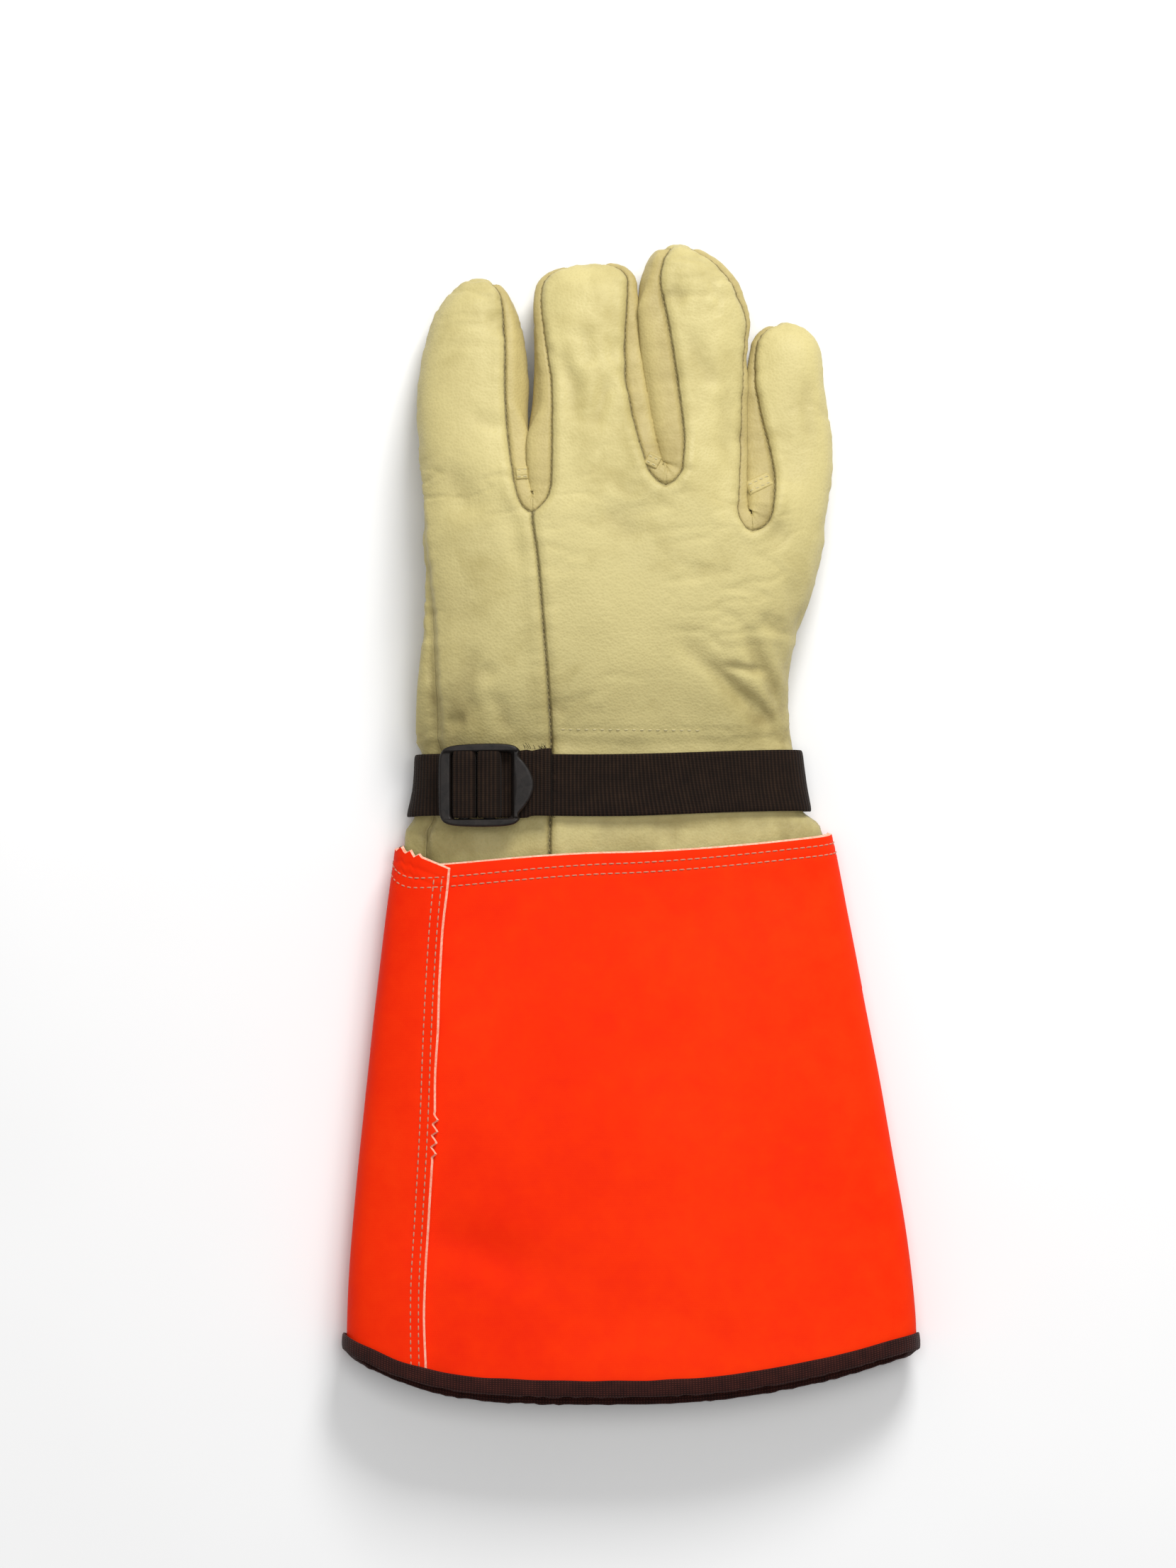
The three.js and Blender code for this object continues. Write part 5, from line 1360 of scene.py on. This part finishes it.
def strap_route(y):
    half = STRAP_WALL / 2
    top = OVER_BAR + half
    route = [(END_BAR - 2.4, LEVEL + half), (END_BAR, LEVEL + half)]
    route += around_bar(BAR_A[0] - half - 0.1, -1, LEVEL + half, top, 4)
    route += [(mix(*BAR_A, 0.5), top + 0.2)]
    route += around_bar(BAR_A[1] + half + 0.1, 1, top, half, 4) + [(END_BAR - 4, half)]
    route = [on_buckle(*p) for p in route]
    s = section_at(y)
    middle, wide = span_of(s["bulge"], s["right"])
    start = angle_at((buckle_x - buckle_reach * 1.12 - middle) / wide, BACK_ROUND)
    stop = TURN + angle_at((buckle_x + buckle_reach * 1.45 - middle) / wide, BACK_ROUND)
    for i in range(49):
        angle = (mix(start, stop, i / 48) + math.pi) % TURN - math.pi
        x, z = wrist_point(angle, y)
        xa, za = wrist_point(angle - DEGREE, y)
        xb, zb = wrist_point(angle + DEGREE, y)
        size = math.hypot(xb - xa, zb - za)
        lift = STRAP_CLEARANCE + half
        route.append((x + (zb - za) / size * lift, z - (xb - xa) / size * lift))
    tail = buckle_reach + 5.4
    end = [(TAB_BAR + 5, half), (TAB_BAR - 1, half)]
    end += around_bar(BAR_B[0] - half - 0.1, -1, half, top, 4) + [(mix(*BAR_B, 0.5), top + 0.2)]
    end += around_bar(BAR_B[1] + half + 0.1, 1, top, LEVEL + half, 4)
    end += [(TAB_BAR, LEVEL + half), (mix(TAB_BAR, tail, 0.5), LEVEL + half), (tail, LEVEL + half)]
    return np.array(route + [on_buckle(*p) for p in end])


def rounded(line, steps):
    """Points of a smooth curve through a line of points."""
    padded = np.vstack([2 * line[0] - line[1], line, 2 * line[-1] - line[-2]])
    made = []
    for i in range(1, len(padded) - 2):
        a, b, c, d = padded[i - 1 : i + 3]
        for t in np.arange(steps) / steps:
            square, cube = (2 * a - 5 * b + 4 * c - d) * t**2, (3 * b - a - 3 * c + d) * t**3
            made.append(0.5 * (2 * b + (c - a) * t + square + cube))
    return np.array(made + [line[-1]])


SHARES = np.array([-0.5, -0.49, -0.46, -0.4, -0.25, -0.1, 0, 0.1, 0.25, 0.4, 0.46, 0.49, 0.5])
thick = STRAP_WALL / 2 * np.array([0.25, 0.6, 0.85, 1, 1, 1, 1, 1, 1, 1, 0.85, 0.6, 0.25])
lanes = [rounded(strap_route(STRAP_Y + 1.8 + s * STRAP_WIDTH), 4) for s in SHARES]
front, behind = [], []
for lane, s, t in zip(lanes, SHARES, thick):
    run = np.gradient(lane, axis=0)
    run /= np.linalg.norm(run, axis=1)[:, None]
    x, z = lane.T
    bow = (0.9 * bell((x + 5) / 32) - 0.4) * ease((z - 10) / 14)
    in_window = ease((buckle_reach - 2 - np.abs(x - buckle_x)) / 1.5)
    wide = STRAP_WIDTH + 0.25 * noise(x / 22, z / 22, 0.5) + 1.7 * in_window
    y_line = STRAP_Y + strap_rise(x) + s * wide - bow
    x = x + strap_pull(x, 0.5 - s) * (np.abs(x - buckle_x) > buckle_reach)
    tail = np.arange(len(x)) > len(x) - 14
    y_line = y_line + tail * 1.9 * (s + 0.5) * ease((x - buckle_x - 8) / 12)
    away_line = np.stack([run[:, 1], np.zeros(len(run)), -run[:, 0]], 1)
    middle = np.stack([x, y_line, z], 1)
    front.append(middle + away_line * t)
    behind.append(middle - away_line * t)
front, behind = np.stack(front, 1), np.stack(behind, 1)
for grid in (front, behind):
    above_floor(grid, 0.03)
strap_mesh, verts, polys = sheet_mesh("wrist_strap", front, behind)
outward(strap_mesh, verts, polys)
path = path_length(lanes[len(SHARES) // 2])
flat = np.stack(np.broadcast_arrays(path[:, None], SHARES[None, :] * STRAP_WIDTH), -1).reshape(-1, 2)
flow_map(strap_mesh, np.concatenate([flat, flat]))
look = Look("black_webbing", Roughness=0.8, Specular_IOR_Level=0.12, Sheen_Weight=0.02, Sheen_Roughness=0.4)
weave = look.sum(look.waves("Y", 0.55, 0.4), 0.3, look.waves("X", 0.24, 0.3), 0.7)
tone = look.sum(weave, 0.5, look.noise(180, 4, 0.65), 0.5)
colour = look.ramp(tone, (0.1, rgb(10, 6, 4)), (0.5, rgb(29, 19, 13)), (0.95, rgb(56, 40, 28)))
bumps = look.bump(look.noise(1400, 3), 0.25, 0.0002)
WEBBING = look.finish(colour, None, look.bump(weave, 0.6, 0.0004, bumps))
piece("wrist_strap_webbing", strap_mesh, [WEBBING] * 3, "webbing", "wrist_strap")

# Loose fibres at the cut end of the webbing and along its corner
rng = np.random.default_rng(7)
end_line = front[-1]
fibres, fibre_polys = [], []
for number in range(70):
    lane = rng.uniform(0, 1)
    corner = lane > 0.8 or number % 3 == 0
    lane = 0.97 + 0.03 * rng.uniform() if corner else lane
    k = lane * (len(end_line) - 1)
    i = min(int(k), len(end_line) - 2)
    root = mix(end_line[i], end_line[i + 1], k - i) + np.array([-0.4, 0, -0.4])
    if corner:
        root = root + np.array([-rng.uniform(0, 9), -0.3, 0])
        way = np.array([rng.normal(0.1, 0.5), rng.uniform(0.5, 1.2), rng.uniform(-0.2, 0.25)])
    else:
        way = np.array([rng.uniform(0.4, 1.2), rng.normal(0, 0.5), rng.uniform(-0.15, 0.2)])
    size = rng.uniform(0.7, 2.0)
    curl = rng.normal(0, 0.5, 3) * np.array([1, 1, 0.3])
    base = len(fibres)
    for step in range(5):
        t = step / 4
        p = root + way * size * t + curl * size * t * t * 0.6
        for side in (-1, 1):
            fibres.append(p + np.array([0.08 * side * (1 - 0.6 * t), 0.06 * side, 0]))
            fibres.append(p + np.array([0.0, 0.0, 0.07 * side]))
    for step in range(4):
        a = base + 4 * step
        for u, v in ((0, 3), (3, 2), (2, 1), (1, 0)):
            fibre_polys.append((a + u, a + v, a + 4 + v, a + 4 + u))
mesh = new_mesh("strap_fibres", fibres, fibre_polys)
smooth_shading(mesh)
piece("strap_fibres", mesh, [WEBBING], "webbing")


# Buckle
PLATE_TOP = PLATE_LOW + BUCKLE_PLATE
WINDOW_HALF = BUCKLE_WIDTH / 2 - RAIL_WIDTH


def outline_points():
    """The buckle's edge, anticlockwise from the middle of its tab."""
    half = np.array([
        (15.8, 0), (15.6, 1.8), (14.5, 4.6), (12.6, 7.4), (10.9, 9.3), (10.7, 10.5),
        (10.9, 11.6), (9.2, 12.9), (6, 13.5), (1, 13.7), (-5, 13.6), (-10.5, 13.2),
        (-13.6, 12.3), (-15.2, 10.5), (-15.7, 8), (-15.8, 4),
    ])
    mirrored = half[1:][::-1] * (1, -1)
    return rounded(np.vstack([half, [(-15.8, 0)], mirrored, half[:1]]), 7)[:-1]


def window_point(x, y):
    """The window's edge in the direction of an outline point."""
    corner = 1.6
    middle, half = span_of(END_BAR, TAB_BAR)
    x, y = x - middle, y * 0.98
    size = max(abs(x) / half, abs(y) / WINDOW_HALF)
    x, y = x / size, y / size
    over_x, over_y = abs(x) - (half - corner), abs(y) - (WINDOW_HALF - corner)
    if over_x > 0 and over_y > 0:
        span = math.hypot(over_x, over_y)
        x = math.copysign(half - corner + over_x / span * corner, x)
        y = math.copysign(WINDOW_HALF - corner + over_y / span * corner, y)
    return x + middle, y


def buckle_top(x, y):
    rail = ease((abs(y) - 10.2) / 1.4) * ease((11.6 - x) / 1.5)
    tab = 1.15 * ease((x - TAB_BAR - 0.2) / 1.0) * ease((11.6 - abs(y)) / 1.2)
    bar = 0.5 * ease((-x - 11) / 1.2)
    return PLATE_TOP + max(RAIL_HEIGHT * rail, tab, bar)


def buckle_low(x, y):
    rail = ease((abs(y) - 9.8) / 1.2) * ease((9 - x) / 1.5) * ease((x + 15) / 1.5)
    return mix(PLATE_LOW, 0.7, rail)


def buckle_vert(along, across, above):
    x, z = on_buckle(along, above)
    return x, STRAP_Y + strap_rise(x) + across, z


TOP_STEPS = 9
BAR_STEPS = 20
BAR_ROUND = 10 / 3
QUARTER = [k / 5 * math.pi / 2 for k in range(6)]
verts = []
edge_points = outline_points()
# One section for each outline point, from the window to the edge: inner roll, top, outer roll, underside
for x, y in edge_points:
    wx, wy = window_point(x, y)
    wide = math.hypot(x - wx, y - wy)
    r = min(0.8, wide * 0.3)
    ring = [(r * (1 - math.cos(a)) / wide, r * (1 - math.sin(a))) for a in QUARTER]
    ring += [(mix(r, wide - r, k / TOP_STEPS) / wide, 0.0) for k in range(1, TOP_STEPS)]
    ring += [(1 - r * (1 - math.sin(a)) / wide, r * (1 - math.cos(a))) for a in QUARTER]
    for share, drop_by in ring:
        px, py = mix(wx, x, share), mix(wy, y, share)
        verts.append(buckle_vert(px, py, buckle_top(px, py) - drop_by))
    for share in (1 - 0.25 * r / wide, 0.5, 0.25 * r / wide):
        px, py = mix(wx, x, share), mix(wy, y, share)
        verts.append(buckle_vert(px, py, buckle_low(px, py)))
polys = rolled_quads(np.arange(len(verts)).reshape(len(edge_points), -1)).tolist()
for bar in (BAR_A, BAR_B):
    middle, half = span_of(*bar)
    near = range(len(verts), len(verts) + BAR_STEPS)
    far = range(len(verts) + BAR_STEPS, len(verts) + 2 * BAR_STEPS)
    for y in (-WINDOW_HALF - 0.5, WINDOW_HALF + 0.5):
        for a in np.arange(BAR_STEPS) / BAR_STEPS * TURN:
            px = middle + half * square_cos(a, BAR_ROUND)
            verts.append(buckle_vert(px, y, PLATE_LOW + BUCKLE_PLATE / 2 * (1 + square_sin(a, BAR_ROUND))))
    polys += [(near[k - 1], near[k], far[k], far[k - 1]) for k in [*range(1, BAR_STEPS), 0]]
    polys += [tuple(near)[::-1], tuple(far)]
buckle_mesh = new_mesh("strap_buckle", verts, polys)
work = bmesh.new()
work.from_mesh(buckle_mesh)
bmesh.ops.recalc_face_normals(work, faces=work.faces)
work.to_mesh(buckle_mesh)
work.free()
look = Look("black_plastic", Roughness=0.5, Specular_IOR_Level=0.3)
scuffs = look.noise(320, 5, 0.7, distortion=0.8)
colour = look.ramp(scuffs, (0.35, rgb(15, 11, 9)), (0.75, rgb(34, 27, 23)))
bumps = look.bump(look.noise(2600, 2), 0.08, 0.0001)
PLASTIC = look.finish(colour, look.span(scuffs, 0.3, 0.7, 0.6, 0.44), bumps)
smooth_shading(buckle_mesh)
crisp(buckle_mesh, 50)
piece("strap_buckle_moulding", buckle_mesh, [PLASTIC], "buckle_plastic", "strap_buckle")


# Seam stitches on the leather
panels_tree = BVHTree.FromPolygons([Vector(v) for v in dressed], quads.tolist())


ABOVE = 70
DOWN = Vector((0, 0, -1))


def drop(x, y):
    """The highest leather at a place seen from above, and its normal."""
    place, n, _, _ = panels_tree.ray_cast(Vector((x, y, ABOVE)), DOWN)
    return (None, None) if place is None else (np.array(place), np.array(n))


def chain(kind):
    """Seam edges of one pair of panels, joined into lines."""
    links = {}
    for (p, q), k in zip(seam_edges.tolist(), seam_kinds):
        if k == kind:
            links.setdefault(p, []).append(q)
            links.setdefault(q, []).append(p)
    lines, used = [], set()
    for first in sorted(links, key=lambda v: len(links[v])):
        if first in used:
            continue
        line, here = [first], first
        used.add(first)
        while True:
            step = [q for q in links[here] if q not in used]
            if not step:
                break
            here = step[0]
            used.add(here)
            line.append(here)
        if len(line) > 8:
            lines.append(line)
    return lines


middles, runs, normals = [], [], []
dressed_normal = vertex_normals(dressed, quads)
for kind in sorted(set(seam_kinds) - {(0, 1), (1, 3), (0, 3)}):
    for line in chain(kind):
        m, r, at = resample(dressed[line], 2.3)
        for p, run in zip(m, r):
            near = tree.find(p)[1]
            n = dressed_normal[seam_edges[near, 0]]
            if np.linalg.norm(run) > 1e-6:
                middles.append(p + n * 0.05), runs.append(run), normals.append(n)
mesh = stitch_mesh("seam_stitches", middles, runs, normals, 1.3, 0.14, 0.2)
piece("seam_stitches", mesh, [DARK_THREAD], "leather")

# Where the side strips are joined, one end laps over the other. Each joint: from x, y to x, y and its width
lap_trees = []
for number, (x0, y0, x1, y1, wide) in enumerate((
    (-38.3, 114.5, -34.0, 114.8, 4.0), (4.7, 119.9, 9.2, 117.6, 4.2), (37.9, 109.5, 46.0, 113.3, 4.4),
)):
    size = math.hypot(x1 - x0, y1 - y0)
    side_x, side_y = -(y1 - y0) / size, (x1 - x0) / size
    along, across = np.meshgrid(np.linspace(0, 1, 21), np.linspace(-0.5, 0.5, 17), indexing="ij")
    x = mix(x0, x1, along) + side_x * wide * across
    y = mix(y0, y1, along) + side_y * wide * across
    hits = [drop(*p) for p in zip(x.ravel(), y.ravel())]
    terms = np.stack([np.ones(x.size), x.ravel(), y.ravel(), x.ravel() ** 2], 1)
    fit = np.linalg.lstsq(terms, np.array([h[0][2] for h in hits]), rcond=None)[0]
    ground = np.stack([x, y, (terms @ fit).reshape(x.shape)], -1)
    facing = np.mean([h[1] for h in hits], 0)
    lift = 0.75 - 0.4 * np.abs(2 * across) ** 6 - 0.3 * bell((np.abs(across) - 0.25) / 0.06)
    lift = mix(-0.3, lift, ease(np.minimum(along, 1 - along) / 0.12))
    top_grid = ground + facing * lift[..., None]
    mesh, verts, polys = sheet_mesh("lap_joint", top_grid, ground - facing * 0.6)
    outward(mesh, verts, polys, verts.mean(0))
    float_layer(mesh, "shade", np.zeros(len(verts)))
    float_layer(mesh, "from_seam", np.full(len(verts), 9.0))
    piece("lap_joint_%d" % (number + 1), mesh, [STRIP_LEATHER] * 3, "strip_leather")
    work = bmesh.new()
    work.from_mesh(mesh)
    lap_trees.append(BVHTree.FromBMesh(work))
    work.free()

# The row across the back above the strap, then the two rows on each lap joint
middles, runs, normals = [], [], []
for x0, y0, x1, y1 in (
    (-24, 30.6, 24, 30.2),
    (-38.0, 115.6, -34.2, 115.9), (-38.0, 113.4, -34.0, 113.7),
    (5.3, 120.6, 9.4, 118.5), (4.5, 118.7, 8.7, 116.6),
    (38.1, 110.8, 45.5, 114.2), (38.6, 108.7, 46.0, 112.1),
):
    size = math.hypot(x1 - x0, y1 - y0)
    pitch = 2.6 if size > 30 else 1.9
    for k in range(int(size / pitch)):
        t = (k + 0.5) * pitch / size
        x, y = mix(x0, x1, t), mix(y0, y1, t)
        p, n = drop(x, y)
        for lap in lap_trees:
            place, facing, _, _ = lap.ray_cast(Vector((x, y, ABOVE)) * 0.001, DOWN)
            if place is not None:
                p, n = np.array(place) * 1000, np.array(facing)
        if p is not None and n[2] > 0.05:
            middles.append(p), runs.append(np.array([x1 - x0, y1 - y0, 0.0])), normals.append(n)
mesh = stitch_mesh("leather_stitches", middles, runs, normals, 1.6, 0.2)
piece("leather_stitches", mesh, [LEATHER_THREAD], "leather")


# Floor, light and camera
bpy.ops.mesh.primitive_plane_add(size=12, location=(0, 0, 0))
floor = bpy.context.object
floor.name = "floor"
look = Look("pale_floor", Roughness=0.9, Specular_IOR_Level=0.1)
pale = look.ramp(look.noise(3), (0.4, (0.90, 0.90, 0.90)), (0.6, (0.93, 0.93, 0.93)))
floor.data.materials.append(look.finish(pale))
for name in ("Cube", "Light", "Camera"):
    if name in bpy.data.objects:
        bpy.data.objects.remove(bpy.data.objects[name])


def soft_light(name, x, y, z, size, power):
    data = bpy.data.lights.new(name, "AREA")
    data.size = size
    data.energy = power
    obj = new_object(name, data)
    obj.location = (x, y, z)
    obj.rotation_euler = (Vector((0, 0, 0)) - obj.location).to_track_quat("-Z", "Y").to_euler()


soft_light("key", 0.35, 1.2, 0.95, 0.55, 20)
soft_light("top", 0.05, 0.15, 1.8, 0.8, 11)
world = bpy.data.worlds.new("studio")
world.use_nodes = True
world.node_tree.nodes["Background"].inputs["Color"].default_value = (1, 1, 1, 1)
world.node_tree.nodes["Background"].inputs["Strength"].default_value = 0.36
bpy.context.scene.world = world
bpy.context.scene.view_settings.view_transform = "Standard"

# Straight above, so far off that near parts look no larger. In metres, but for the sensor
CAMERA_AWAY = 4.0
FRAME_HEIGHT = 0.5176
SENSOR = 36
camera_data = bpy.data.cameras.new("camera")
camera_data.sensor_fit = "VERTICAL"
camera_data.sensor_width = camera_data.sensor_height = SENSOR
camera_data.lens = SENSOR * CAMERA_AWAY / FRAME_HEIGHT
camera_data.clip_end = 50
camera = new_object("camera", camera_data)
camera.location = (-0.0144, 0.0126, CAMERA_AWAY + 0.01)
bpy.context.scene.camera = camera
